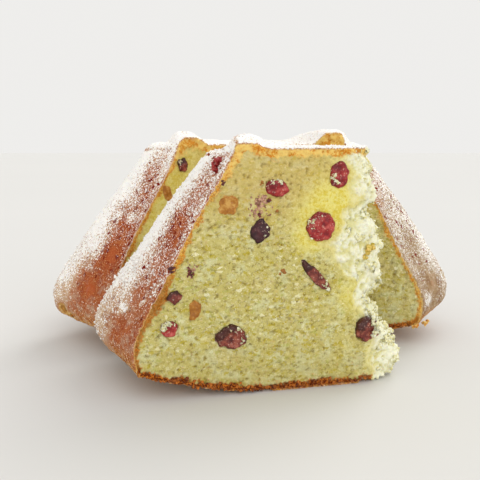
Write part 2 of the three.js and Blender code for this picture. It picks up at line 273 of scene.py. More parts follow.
# ---- The two portions ----
class Portion:
    """A cut piece of the loaf, in a frame of its own about the loaf's axis."""

    def __init__(self, node, turn, star_turn, top, start, sweep, cuts, torn=False):
        self.node = node
        self.star_turn = star_turn
        self.top = top
        self.start = start
        self.sweep = sweep
        self.cuts = cuts  # each cut face's turn, and where it starts
        self.torn = torn
        self.place = Matrix.Rotation(turn, 4, "Z")

    def depth_under_skin(self, point):
        """A point's depth under the baked surface, the part it is nearest, and how far in a valley it is."""
        angle = math.atan2(point.y, point.x) - self.star_turn
        valley = valleyness(angle)
        radius = math.hypot(point.x, point.y)
        wave = unevenness(angle, point.z)
        shoulder = star_radius(SHOULDER_RADIUS, valley)
        inner = radius - wave * radius / shoulder
        top = top_height(min(inner, shoulder), angle, valley, self.top) - point.z
        side = (side_radius(point.z, valley) + wave - radius) * SIDE_LEAN
        base = point.z - underside_height((radius - wave) / star_radius(EDGE_RADIUS, valley), valley)
        depth = min(top, side, base)
        part = "base" if depth == base else "side" if depth == side else "top"
        return depth, part, valley

    def face_matrix(self, cut):
        """A cut face's own frame: X along the face, Y into the crumb, Z up."""
        angle, start = cut
        return self.place @ Matrix.Translation((*start, 0)) @ Matrix.Rotation(angle, 4, "Z")


def star_wedge(portion):
    """A closed wedge of the loaf: an outline spun round the axis, then drawn out to the star's form."""
    bm = bmesh.new()
    outline = [(share, UNDERSIDE) for share in UNDERSIDE_RINGS]
    outline += [(1, i / SIDE_RINGS) for i in range(SIDE_RINGS)]
    outline += [(1 - i / CROWN_RINGS, CROWN) for i in range(CROWN_RINGS + 1)]
    out = Vector((math.cos(portion.start), math.sin(portion.start), 0))
    verts = [bm.verts.new(out * share + Vector((0, 0, stage))) for share, stage in outline]
    edges = [bm.edges.new(pair) for pair in zip(verts, verts[1:])]
    steps = round(portion.sweep / SPIN_STEP)
    bmesh.ops.spin(bm, geom=verts + edges, axis=(0, 0, 1), angle=portion.sweep, steps=steps)
    bmesh.ops.remove_doubles(bm, verts=bm.verts, dist=SAME_POINT)
    for vert in bm.verts:
        vert.co = star_point(vert.co, portion)
    close_wedge(bm, portion.start + portion.sweep / 2)
    bmesh.ops.recalc_face_normals(bm, faces=bm.faces)
    return bm


def star_point(can_point, portion):
    """Moves a point of the plain can to the star's form. Its height in the can says which part it is on."""
    angle = math.atan2(can_point.y, can_point.x)
    own_angle = angle - portion.star_turn
    valley = valleyness(own_angle)
    share = math.hypot(can_point.x, can_point.y)
    if can_point.z == UNDERSIDE:
        radius = share * star_radius(EDGE_RADIUS, valley)
        height = underside_height(share, valley)
    elif can_point.z == CROWN:
        radius = share * star_radius(SHOULDER_RADIUS, valley)
        height = top_height(radius, own_angle, valley, portion.top)
    else:
        height = side_height(can_point.z, valley)
        radius = side_radius(height, valley)
    radius += unevenness(own_angle, height) * share
    return Vector((radius * math.cos(angle), radius * math.sin(angle), height))


def close_wedge(bm, middle):
    """Fills the two open ends of a spun wedge, which share an edge along the axis."""
    axis = bm.edges.new([vert for vert in bm.verts if math.hypot(vert.co.x, vert.co.y) < SAME_POINT])
    ends = {True: [axis], False: [axis]}
    for edge in bm.edges:
        if edge.is_boundary:
            centre = (edge.verts[0].co + edge.verts[1].co) / 2
            turn = (math.atan2(centre.y, centre.x) - middle) % (2 * math.pi)
            ends[turn < math.pi].append(edge)
    for edges in ends.values():
        bmesh.ops.contextual_create(bm, geom=edges)


def cut_off(bm, point, normal):
    """Cuts away what lies beyond a plane, and closes the cut."""
    geometry = bm.verts[:] + bm.edges[:] + bm.faces[:]
    cut = bmesh.ops.bisect_plane(bm, geom=geometry, plane_co=point, plane_no=normal, clear_outer=True)
    edges = [item for item in cut["geom_cut"] if isinstance(item, bmesh.types.BMEdge)]
    bmesh.ops.edgeloop_fill(bm, edges=edges)
    bmesh.ops.recalc_face_normals(bm, faces=bm.faces)


def box_of(points):
    """The lowest and highest corners of some points."""
    points = list(points)
    low = Vector([min(point[i] for point in points) for i in range(3)])
    high = Vector([max(point[i] for point in points) for i in range(3)])
    return low, high


def settle(portion):
    """Finds the loaf's axis from the box of the portion's solid, and places the portion there."""
    bm = star_wedge(portion)
    low, high = box_of(portion.place @ vert.co for vert in bm.verts)
    bm.free()
    solid_low, solid_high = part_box(portion.node)
    shift = (solid_low + solid_high - low - high) / 2
    portion.place = Matrix.Translation((shift.x, shift.y, 0)) @ portion.place


REST = Portion(
    "cake_rest", REST_TURN, 0, REST_TOP, -HALF_POINT, (2 * POINTS - 2 * NOTCH_POINTS) * HALF_POINT,
    cuts=[(HALF_POINT, (0, 0)), (-HALF_POINT, (0, 0))],
)
SLICE = Portion(
    "cake_slice", SLICE_TURN, HALF_POINT, SLICE_TOP, 0, math.pi,
    cuts=[(0, (0, 0)), (BACK_ANGLE, (BACK_CUT_END[0] - BACK_CUT_END[1] / BACK_SLOPE, 0))], torn=True,
)
PORTIONS = (REST, SLICE)
settle(REST)
SLICE.place = Matrix.Translation(REST.place.translation + SLICE_STEP) @ SLICE.place


def finished(bm, name):
    """A bmesh as a new smooth-shaded object in the scene."""
    mesh = bpy.data.meshes.new(name)
    bm.to_mesh(mesh)
    bm.free()
    mesh.shade_smooth()
    piece = bpy.data.objects.new(name, mesh)
    bpy.context.scene.collection.objects.link(piece)
    return piece


def remesh(piece, cell):
    """Rebuilds a piece's surface in even small cells."""
    modifier = piece.modifiers.new("Cells", "REMESH")
    modifier.mode = "VOXEL"
    modifier.voxel_size = cell
    bpy.context.view_layer.update()
    even = bpy.data.meshes.new_from_object(piece.evaluated_get(bpy.context.evaluated_depsgraph_get()))
    piece.modifiers.clear()
    old = piece.data
    piece.data = even
    bpy.data.meshes.remove(old)


# ---- Fruit seats ----
def span(points, way):
    """The middle of some points along a direction, and how far they reach from it."""
    reaches = [point.dot(way) for point in points]
    return (min(reaches) + max(reaches)) / 2, (max(reaches) - min(reaches)) / 2


class Seat:
    """Where a fruit's solid sits on its cut face: x along the face, y into the crumb, z up."""

    def __init__(self, name, face):
        self.name = name
        self.face = face
        inward = face.inverted()
        points = [inward @ vert.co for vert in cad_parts[name].data.vertices]
        low, high = box_of(points)
        middle = (low + high) / 2
        pairs = ((0, 0), (2, 2), (0, 2))
        xx, zz, xz = (sum((p[i] - middle[i]) * (p[j] - middle[j]) for p in points) for i, j in pairs)
        tilt = 0.5 * math.atan2(2 * xz, xx - zz)
        self.long_way = Vector((math.cos(tilt), 0, math.sin(tilt)))
        self.short_way = Vector((-math.sin(tilt), 0, math.cos(tilt)))
        long_mid, self.half_long = span(points, self.long_way)
        short_mid, self.half_short = span(points, self.short_way)
        self.centre = self.long_way * long_mid + self.short_way * short_mid
        self.proud = -low.y
        self.deep = high.y

    def distance(self, point):
        """0 at the fruit's middle and 1 at its outline, for a point in the face's own frame."""
        offset = point - self.centre
        along, across = offset.dot(self.long_way), offset.dot(self.short_way)
        return math.hypot(along / self.half_long, across / self.half_short)

    def at(self, along, inward, across):
        """A point of the fruit, from shares of its own size, in the whole loaf's frame."""
        depth = inward * (self.deep if inward > 0 else self.proud)
        flat = self.centre + self.long_way * (along * self.half_long)
        flat += self.short_way * (across * self.half_short)
        return self.face @ (flat + Vector((0, depth, 0)))


def fruit_seats(portion):
    """The seats of the fruits on a portion's cut faces: each fruit belongs to the face it lies nearest."""
    faces = [(other, other.face_matrix(cut)) for other in PORTIONS for cut in other.cuts]
    seats = []
    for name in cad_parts:
        if name.startswith("cake"):
            continue
        low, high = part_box(name)
        middle = (low + high) / 2
        owner, face = min(faces, key=lambda item: abs((item[1].inverted() @ middle).y))
        if owner is portion:
            seats.append(Seat(name, face))
    return seats


def all_seats():
    return [seat for portion in PORTIONS for seat in fruit_seats(portion)]


# ---- How the surface is finished ----
FINISHES = ("skin", "crust", "toast", "sugar", "torn", "warm", "hollow")
# Yellow places of the crumb, painted brighter as a glow where light would come through the crumb; on the
# rest, painted light on its left notch wall, which lies in shade: x, height, radius and strength
GLOW_SPOTS = {
    "cake_slice": (
        (-0.001, 0.088, 0.015, 1.0), (-0.014, 0.080, 0.012, 0.5), (0.006, 0.044, 0.010, 0.7),
        (-0.016, 0.070, 0.008, 0.6), (0.004, 0.020, 0.008, 0.3)),
    "cake_rest": ((-0.046, 0.092, 0.030, 0.7), (-0.062, 0.062, 0.022, 0.5)),
}
EVEN_SIDE = (0.035, 0.065)  # from the first x to the second, the sugar grows more even and reaches lower
# Places where the crust is thicker: x, y, height, radius, extra thickness
BAKED_SPOTS = {
    "cake_slice": (
        (-0.051, 0.002, 0.111, 0.012, 0.0022), (-0.020, 0.0, 0.113, 0.010, 0.0008),
        (-0.083, 0.0, 0.045, 0.006, 0.0026)),
    "cake_rest": (
        (0.042, -0.017, 0.114, 0.010, 0.0090), (-0.040, -0.016, 0.116, 0.014, 0.0030),
        (-0.024, -0.010, 0.112, 0.014, 0.0020)),
}
# Places where the skin is broken away: x, y, height, radius, depth
BROKEN_SPOTS = {
    "cake_slice": ((-0.0915, 0.004, 0.012, 0.0025, 0.0010),),
    "cake_rest": ((-0.1150, -0.0110, 0.0190, 0.0034, 0.0020), (-0.1085, -0.0140, 0.0160, 0.0024, 0.0012)),
}
# Places with more or less sugar: x, y, height, radius, how much
SUGAR_SPOTS = {
    "cake_slice": (),
    "cake_rest": (
        (-0.0835, -0.0246, 0.0527, 0.0065, -1.4), (-0.0960, -0.0240, 0.0340, 0.0050, -0.8),
        (-0.0805, -0.0148, 0.0732, 0.0026, 0.9), (-0.0730, -0.0215, 0.0730, 0.0030, 0.9),
        (-0.0963, -0.0180, 0.0449, 0.0035, 0.6), (0.0945, -0.0285, 0.0225, 0.0050, 1.6),
        (0.0975, -0.0240, 0.0150, 0.0050, -1.5), (0.1010, -0.0230, 0.0320, 0.0070, -0.9)),
}
SUGAR_EDGE = 0.046  # the height down to which sugar lies on the sides, with small drifts along it
SUGAR_BLUR = 0.008  # half the height over which it fades at that edge
SUGAR_FOOT = (0.014, 0.030)  # heights over which the last of the sugar fades out
SUGAR_SHOULDER = (0.088, 0.108)  # heights over which it grows thicker towards the top
# The dark foot of the crust is partly browner baking and partly painted shade where the loaf meets the floor
TOASTED_AND_SHADED_FOOT = (0.006, 0.022)  # heights over which the crust turns from dark to plain
PALE_SHOULDER = (0.092, 0.108)  # heights over which it turns pale
PIT_HEIGHTS = (0.035, 0.106)
PIT_DEPTH = 0.0007
BROAD_WAVE, MIDDLE_WAVE, FINE_WAVE = 0.0052, 0.0024, 0.0012  # sizes of the relief's waves
PUSHED_IN = 0.004  # how far from a cut face its fruits still push the crumb in


def spots_near(point, spots):
    """The sum of some spots' amounts at a point; each spot fades out round its middle."""
    return sum(
        amount * math.exp(-(point - Vector(middle)).length_squared / radius ** 2)
        for *middle, radius, amount in spots)


def surface_finish(point, portion, sizes):
    """How much of each finish a point of the surface has, from 0 to 1."""
    depth, part, valley = portion.depth_under_skin(point)
    ragged = noise.noise(point / 0.006)
    fine = noise.noise(point / 0.0015)
    baked = spots_near(point, BAKED_SPOTS[portion.node])
    thickness = sizes[part] * (1 + 0.6 * ragged) + 0.0012 * fine + baked
    skin = 1 - smooth_step(depth + 0.0004 * fine, 0.0004, 0.0013)
    crust = 1 - smooth_step(depth, 0.2 * thickness, 1.5 * thickness)
    toast = 0.5 + 0.5 * (1 - smooth_step(point.z, *TOASTED_AND_SHADED_FOOT))
    toast -= 0.5 * smooth_step(point.z, *PALE_SHOULDER)
    sugar = dusting(point, valley, part, SUGAR_SPOTS[portion.node]) * skin
    sugar *= 1 - smooth_step(depth, 0.0002, 0.0007)
    # The glowing share: yellow crumb with painted glow, and painted light on the rest's shaded notch wall
    warm = sum(
        strength * math.exp(-((point.x - x) ** 2 + (point.z - z) ** 2) / radius ** 2)
        for x, z, radius, strength in GLOW_SPOTS[portion.node])
    torn = 0.0
    if portion.torn:
        share = clamp(point.y / max(0.001, back_cut(point.x)))
        wander = 0.006 * noise.noise(point / 0.008)
        behind = torn_x(share, point.z) - point.x + wander
        before = torn_reach(point.z) - point.x + wander - torn_breadth(point.z)
        torn = 1 - smooth_step(lerp(before, behind - 0.008, smooth_step(share, 0.35, 0.55)), -0.006, 0.006)
        if part == "base":
            crust *= 1 - fluffiness(torn)
            skin *= 1 - fluffiness(torn)
    return {"skin": skin, "crust": crust, "toast": toast, "sugar": sugar, "torn": torn, "warm": clamp(warm)}


def fluffiness(torn):
    """How fluffy the torn end is: its colours change over a wider zone than its surface does."""
    return smooth_step(torn, 0.45, 0.90)


def dusting(point, valley, part, spots):
    """How thick the icing sugar lies on the baked surface."""
    if part == "base":
        return 0.0
    if part == "top":
        return 1.4
    ridge = (1 - smooth_step(valley, 0.05, 0.60)) ** 1.3
    beside_valley = smooth_step(valley, 0.80, 1.0)
    right = smooth_step(point.x, *EVEN_SIDE)
    patches = 0.5 * noise.noise(point / 0.016)
    edge = SUGAR_EDGE + 0.016 * noise.noise(point / 0.018) - 0.016 * right
    drift = math.exp(-((point.z - edge) / 0.0012) ** 2) * smooth_step(noise.noise(point / 0.006), -0.05, 0.3)
    upper = 0.08 + 1.3 * ridge + 0.28 * beside_valley + 0.55 * smooth_step(point.z, *SUGAR_SHOULDER)
    lower = 1.0 * ridge - 0.22
    broken = 0.8 + 0.6 * noise.noise(point / 0.0022)
    high_up = smooth_step(point.z, edge - SUGAR_BLUR, edge + SUGAR_BLUR)
    amount = lerp(lower, upper, high_up) + patches + 1.2 * drift * broken
    amount = lerp(amount, 0.34 + 0.35 * ridge + 0.6 * patches, 0.85 * right)
    return (amount + spots_near(point, spots)) * smooth_step(point.z, *SUGAR_FOOT)


def pits(point, sizes):
    """Little burst bubbles in the crust: 1 at the bottom of one, 0 outside."""
    distances, centres = noise.voronoi(point / sizes["pit_spacing"])
    pick = noise.noise(centres[0] * 7.3) + 0.5
    if pick < 0.5:
        return 0.0
    radius = sizes["pit_radius"] * (0.6 + 0.8 * clamp(pick))
    return 1 - smooth_step(distances[0] * sizes["pit_spacing"], 0.5 * radius, radius)


def relief(point, finish, sizes):
    """How far the surface stands out from its plain form at a point. Also notes how hollow it is there."""
    broad, middle, fine = (2 * noise.noise(point / size) for size in (BROAD_WAVE, MIDDLE_WAVE, FINE_WAVE))
    skin, crust, torn = finish["skin"], finish["crust"], fluffiness(finish["torn"])
    pore = smooth_step(-0.45 * middle - 0.55 * fine, 0.42, 0.85)
    crumb = sizes["crumb"] * (0.4 * broad + 0.35 * middle + 0.35 * fine - 0.9 * pore)
    crumb *= 1 - 0.6 * finish["warm"]
    lumps = noise.noise(point / 0.0085) - 0.1
    flakes = abs(2 * noise.noise(point / 0.0042)) - 0.4
    shreds = 0.4 - abs(2 * noise.noise(point / 0.0019))
    fluff = sizes["torn"] * (lumps + 0.55 * flakes + 0.35 * shreds + 0.15 * fine)
    dip = smooth_step(-lumps - 0.9 * flakes - 0.4 * shreds, 0.05, 0.6)
    section = sizes["crumb"] * (0.4 + 0.8 * middle + 0.9 * fine)
    inside = lerp(lerp(crumb, fluff, torn), section, crust * (1 - torn))
    pit = 0.0
    if skin > 0.1 and PIT_HEIGHTS[0] < point.z < PIT_HEIGHTS[1]:
        pit = pits(point, sizes) * (1 - smooth_step(finish["sugar"], 0.7, 0.95))
    powder = clamp(finish["sugar"]) * (0.5 + 0.5 * middle)
    outside = sizes["crust"] * (0.6 * broad + 0.4 * middle + 0.3 * fine)
    outside += sizes["powder"] * powder
    outside -= PIT_DEPTH * pit
    # This hollow share is what the material darkens with painted shade in the crumb's pores and the torn
    # end's hollows; on the skin it colours the pits
    finish["hollow"] = clamp(lerp(lerp(pore * (1 - crust), dip, torn), pit, skin))
    finish["sugar"] *= 1 - pit
    return lerp(inside, outside, skin)


def pocket(point, seats):
    """How far the crumb is pushed in round the fruits: 1 under a fruit, 0 away from all of them."""
    deepest = 0.0
    for face, seat in seats:
        local = face @ point
        if abs(local.y) < PUSHED_IN:
            ragged = 0.12 * noise.noise(point / 0.003)
            deepest = max(deepest, 1 - smooth_step(seat.distance(local) + ragged, 0.75, 0.98))
    return deepest


FAINT = 0.0001  # a broken spot shallower than this is left alone


def note(piece, name, values):
    """Records a value at each point of a piece, for its material to use."""
    piece.data.attributes.new(name, "FLOAT", "POINT").data.foreach_set("value", values)


def press_and_roughen(piece, portion, sizes):
    """Gives a portion's even surface its crumb, crust and tear, and records the finishes on its points."""
    mesh = piece.data
    seats = [(seat.face.inverted() @ portion.place, seat) for seat in fruit_seats(portion)]
    layers = {name: [] for name in FINISHES}
    moved = []
    for vert in mesh.vertices:
        point = vert.co.copy()
        finish = surface_finish(point, portion, sizes)
        rise = relief(point, finish, sizes)
        if finish["skin"] < 1:
            rise -= sizes["pocket"] * pocket(point, seats) * (1 - finish["skin"])
        broken = spots_near(point, BROKEN_SPOTS[portion.node])
        if broken > FAINT:
            rise -= broken * (1 + noise.noise(point / 0.002))
            finish["skin"] *= 1 - clamp(broken / 0.0010)
            finish["sugar"] *= 1 - clamp(broken / 0.0006)
        point += vert.normal * rise
        point.z = max(0.0, point.z)
        moved.append(point)
        for name in FINISHES:
            layers[name].append(finish[name])
    for vert, point in zip(mesh.vertices, moved):
        vert.co = point
    for name in FINISHES:
        note(piece, name, layers[name])
    mesh.shade_smooth()


def refine(piece, wanted):
    """Halves the cells where wanted(point) says so."""
    bm = bmesh.new()
    bm.from_mesh(piece.data)
    chosen = (face for face in bm.faces if wanted(face.calc_center_median()))
    edges = dict.fromkeys(edge for face in chosen for edge in face.edges)  # each once, in a fixed order
    bmesh.ops.subdivide_edges(bm, edges=list(edges), cuts=1, use_grid_fill=True)
    bm.to_mesh(piece.data)
    bm.free()


def hollow_corner(point):
    """Moves a point by the small torn hollow where the notch's two walls meet."""
    side = abs(point.x)
    start, depth, fade = NOTCH_HOLLOW["start"], NOTCH_HOLLOW["depth"], NOTCH_HOLLOW["fade"]
    reach = start * math.cos(HALF_POINT)
    if side > reach or point.y > fade:
        return
    wall = -side * math.tan(HALF_POINT)
    corner = lerp(depth, -reach * math.tan(HALF_POINT), side / reach)
    point.y += (corner - wall) * (1 - clamp((point.y - wall) / fade))


def tear(point):
    """Draws the slice's plain end out to its torn face."""
    if point.x <= TORN_START:
        return
    share = clamp(point.y / back_cut(point.x))
    along = (point.x - TORN_START) / (PLAIN_END - TORN_START)
    point.x = lerp(TORN_START, torn_x(share, point.z), along)
    point.y = share * back_cut(point.x)


FRONT_DEPTH = 0.0012  # how far behind the slice's front cut and its torn end the finer cells reach


def is_torn(point):
    return torn_x(clamp(point.y / back_cut(point.x)), point.z) - point.x < FRONT_DEPTH


def make_portion(portion, name, cell, sizes):
    """A portion of the loaf: its plain form, its cuts and tear, then its rough surface."""
    bm = star_wedge(portion)
    if portion.torn:
        cut_off(bm, (*BACK_CUT_END, 0), (math.sin(BACK_ANGLE), -math.cos(BACK_ANGLE), 0))
        cut_off(bm, (PLAIN_END, 0, 0), (1, 0, 0))
    piece = finished(bm, name)
    remesh(piece, cell * (2 if portion.torn else 1))
    shape = tear if portion.torn else hollow_corner
    for vert in piece.data.vertices:
        shape(vert.co)
    if portion.torn:
        remesh(piece, cell)
        refine(piece, lambda point: point.y < FRONT_DEPTH or is_torn(point))
    press_and_roughen(piece, portion, sizes)
    piece.data.transform(portion.place)
    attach(piece, BODY)
    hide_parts(portion.node)
    return piece


# ---- Fruit ----
FRUIT_FORM = {
    "raisin": {"wobble": 0.12, "square": 1.0, "fold": 0.00035, "bump": 0.00035, "grain": 0.0042},
    "cranberry": {"wobble": 0.035, "square": 1.0, "fold": 0.0, "bump": 0.00040, "grain": 0.0022},
    "peel": {"wobble": 0.14, "square": 0.8, "fold": 0.0, "bump": 0.00025, "grain": 0.0030},
}
FRUIT_FINENESS = 5
PALE_FRUIT = ("raisin_long",)  # not darkened on its upper side
DARK_RAISINS = ("raisin_high", "raisin_rest_left", "raisin_rest_low", "raisin_back_mid")
# Crumbs that cling to a fruit: how many, the side of it they lie on in degrees (90 at its top), and how wide
CLINGING = {
    "cranberry_low": (16, 125, 0.0034), "raisin_torn_edge": (24, 10, 0.0026), "raisin_low": (16, 60, 0.0018),
    "cranberry_round": (22, 70, 0.0020), "cranberry_high": (20, 100, 0.0018),
    "cranberry_tip_high": (12, 120, 0.0016),
    "raisin_long": (12, 20, 0.0016), "raisin_high": (6, -60, 0.0014), "raisin_rest_high": (8, 60, 0.0014),
    "cranberry_rest_right": (16, 40, 0.0020), "raisin_rest_right": (12, 160, 0.0018),
    "cranberry_rest_left": (16, 200, 0.0018), "cranberry_back_mid": (18, 90, 0.0020),
    "raisin_back_low": (12, 30, 0.0018), "cranberry_back_high": (14, 140, 0.0020),
}


def make_fruit(seat, number, material):
    """A fruit cut through or bared at the face of the crumb, in its seat."""
    form = FRUIT_FORM[seat.name.split("_")[0]]
    bm = bmesh.new()
    bmesh.ops.create_icosphere(bm, subdivisions=FRUIT_FINENESS, radius=1)
    own = Vector((9.7 * number, 0, 0))
    rims = []
    uppers = []
    for vert in bm.verts:
        way = vert.co.copy()
        flat = Vector((way.x, 0, way.z))
        rims.append(flat.length)
        waves = noise.noise(flat * 1.3 + own) + 0.5 * noise.noise(flat * 3.1 + own)
        outline = 1 + form["wobble"] * waves * 2
        along, across = (
            math.copysign(abs(part) ** form["square"], part) * outline for part in (way.x, way.z))
        inward = way.y
        if inward < 0:
            inward = -smooth_step(-way.y, 0, 0.55) * (0.75 - 0.25 * way.y)
        vert.co = seat.at(along, inward, across)
        offset = seat.face.inverted() @ vert.co - seat.centre
        uppers.append((0.8 * offset.z - 0.4 * offset.x) / seat.half_short - (seat.name in PALE_FRUIT))
    bm.normal_update()
    for vert in bm.verts:
        spot = vert.co / form["grain"] + own
        fold = 1 - smooth_step(abs(noise.noise(spot * 0.7)), 0.0, 0.22)
        bump = 2 * noise.noise(spot)
        vert.co += vert.normal * (form["bump"] * bump - form["fold"] * fold)
    piece = finished(bm, seat.name + "_look")
    note(piece, "rim", rims)
    note(piece, "upper", uppers)
    piece.data.materials.append(material)
    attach(piece, BODY)
    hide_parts(seat.name)
    return piece


# ---- Loose lumps: crumbs, sugar and bits of fruit ----
BATCH = 60
LUMP_REACH = 1.1  # how far a lump may reach from its middle, as a share of its width


def add_lump(bm, place, width, draw, fineness, rough=0.22, flatness=0.6):
    """A small rough lump about as wide as it is told, and at its flattest that share of it thick."""
    turn = Matrix.Rotation(draw.uniform(0, 2 * math.pi), 4, Vector([draw.uniform(-1, 1) for _ in range(3)]))
    stretch = Matrix.Diagonal([width * draw.uniform(flatness, 1.8 - flatness) for _ in range(3)]).to_4x4()
    made = bmesh.ops.create_icosphere(
        bm, subdivisions=fineness, radius=0.5, matrix=Matrix.Translation(place) @ turn @ stretch)
    for vert in made["verts"]:
        vert.co += noise.noise_vector(vert.co / (0.45 * width)) * (rough * width)


def scattered(name, spots, count, widths, draw, fineness=1, sink=0.15, rough=0.22, flatness=0.6):
    """Small lumps, most of them near the lesser width, set into a surface at spots drawn from a list."""
    whole = bmesh.new()
    chosen = draw.choices(spots, k=count)
    for start in range(0, count, BATCH):
        batch = bmesh.new()
        for place, normal in chosen[start:start + BATCH]:
            width = lerp(*widths, draw.random() ** 2)
            height = width * (0.5 - sink - 0.35 * draw.random())
            place = place + normal * height
            place.z = max(place.z, LUMP_REACH * width)
            add_lump(batch, place, width, draw, fineness, rough, flatness)
        join(whole, batch)
    return finished(whole, name)


def join(whole, part):
    """Adds one bmesh's shapes to another's. Many small shapes are made in batches, which is quicker."""
    mesh = bpy.data.meshes.new("batch")
    part.to_mesh(mesh)
    part.free()
    whole.from_mesh(mesh)
    bpy.data.meshes.remove(mesh)


def spots_where(piece, wanted):
    """The places and normals of a portion's points whose finishes and place are wanted."""
    mesh = piece.data
    layers = []
    for name in FINISHES:
        values = [0.0] * len(mesh.vertices)
        mesh.attributes[name].data.foreach_get("value", values)
        layers.append(values)
    found = []
    for vert, values in zip(mesh.vertices, zip(*layers)):
        if wanted(vert.co, vert.normal, dict(zip(FINISHES, values))):
            found.append((vert.co.copy(), vert.normal.copy()))
    return found


def add_piece(piece, material):
    piece.data.materials.append(material)
    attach(piece, BODY)
    return piece


# ---- Materials ----
class Value:
    """A number that a material works out at each point, which sums and products can be made from."""

    def __init__(self, shading, socket):
        self.shading = shading
        self.socket = socket

    def __add__(self, other):
        return self.shading.math("ADD", self, other)

    def __sub__(self, other):
        return self.shading.math("SUBTRACT", self, other)

    def __mul__(self, other):
        return self.shading.math("MULTIPLY", self, other)

    def rise(self, low, high):
        """0 below low and 1 above high; with high below low it falls instead."""
        inputs = {"Value": self, "From Min": low, "From Max": high}
        return self.shading.value("ShaderNodeMapRange", inputs, "Result", interpolation_type="SMOOTHSTEP")


class Shading:
    """A material's nodes, made by short calls. Patterns are sized in metres."""

    def __init__(self, name):
        self.material = bpy.data.materials.new(name)
        self.material.use_nodes = True
        self.tree = self.material.node_tree
        self.shader = self.tree.nodes["Principled BSDF"]
        self.place = self.tree.nodes.new("ShaderNodeTexCoord").outputs["Object"]

    def node(self, kind, inputs, **settings):
        made = self.tree.nodes.new(kind)
        for name, value in settings.items():
            setattr(made, name, value)
        for name, value in inputs.items():
            self.put(value, made.inputs[name])
        return made

    def value(self, kind, inputs, output, **settings):
        return Value(self, self.node(kind, inputs, **settings).outputs[output])

    def put(self, value, socket):
        value = getattr(value, "socket", value)
        if isinstance(value, bpy.types.NodeSocket):
            self.tree.links.new(value, socket)
        elif socket.type == "RGBA":
            socket.default_value = (*value, 1)
        else:
            socket.default_value = value

    def attribute(self, name):
        return self.value("ShaderNodeAttribute", {}, "Fac", attribute_name=name)

    def math(self, operation, first, second):
        return self.value("ShaderNodeMath", {0: first, 1: second}, 0, operation=operation)

    def noise(self, size, detail=2, roughness=0.5):
        inputs = {"Vector": self.place, "Scale": 1 / size, "Detail": detail, "Roughness": roughness}
        return self.value("ShaderNodeTexNoise", inputs, "Fac")

    def cells(self, size, warp, flatness=1.0):
        """Small cells: how far a point is from its cell's middle, and a value drawn for each cell."""
        wander = self.node("ShaderNodeTexNoise", {"Vector": self.place, "Scale": 1.3 / size}).outputs["Color"]
        flat = {0: self.place, 1: (1, 1, flatness)}
        level = self.node("ShaderNodeVectorMath", flat, operation="MULTIPLY").outputs["Vector"]
        shift = {0: wander, 1: (warp * size,) * 3, 2: level}
        place = self.node("ShaderNodeVectorMath", shift, operation="MULTIPLY_ADD").outputs["Vector"]
        found = self.node("ShaderNodeTexVoronoi", {"Vector": place, "Scale": 1 / size}).outputs
        return Value(self, found["Distance"]), Value(self, found["Color"])

    def ramp(self, value, *stops):
        """A colour for each value from 0 to 1, from pairs of a value and its colour."""
        made = self.node("ShaderNodeValToRGB", {"Fac": value})
        elements = made.color_ramp.elements
        while len(elements) < len(stops):
            elements.new(0.5)
        for element, (place, tint) in zip(elements, stops):
            element.position = place
            element.color = (*tint, 1)
        return made.outputs["Color"]

    def blend(self, share, first, second):
        mixed = self.node("ShaderNodeMix", {}, data_type="RGBA")
        for value, number in ((share, 0), (first, 6), (second, 7)):
            self.put(value, mixed.inputs[number])
        return mixed.outputs[2]

    def coats(self, colour, *coats):
        """A colour with others laid over it one by one. Each is given with how much of it shows."""
        for tint, share in coats:
            colour = self.blend(share, colour, tint)
        return colour

    def bump(self, height, distance, strength=0.6):
        inputs = {"Height": height, "Distance": distance, "Strength": strength}
        self.put(self.value("ShaderNodeBump", inputs, "Normal"), self.shader.inputs["Normal"])

    def finish(self, **inputs):
        for name, value in inputs.items():
            self.put(value, self.shader.inputs[name.replace("_", " ")])
        return self.material


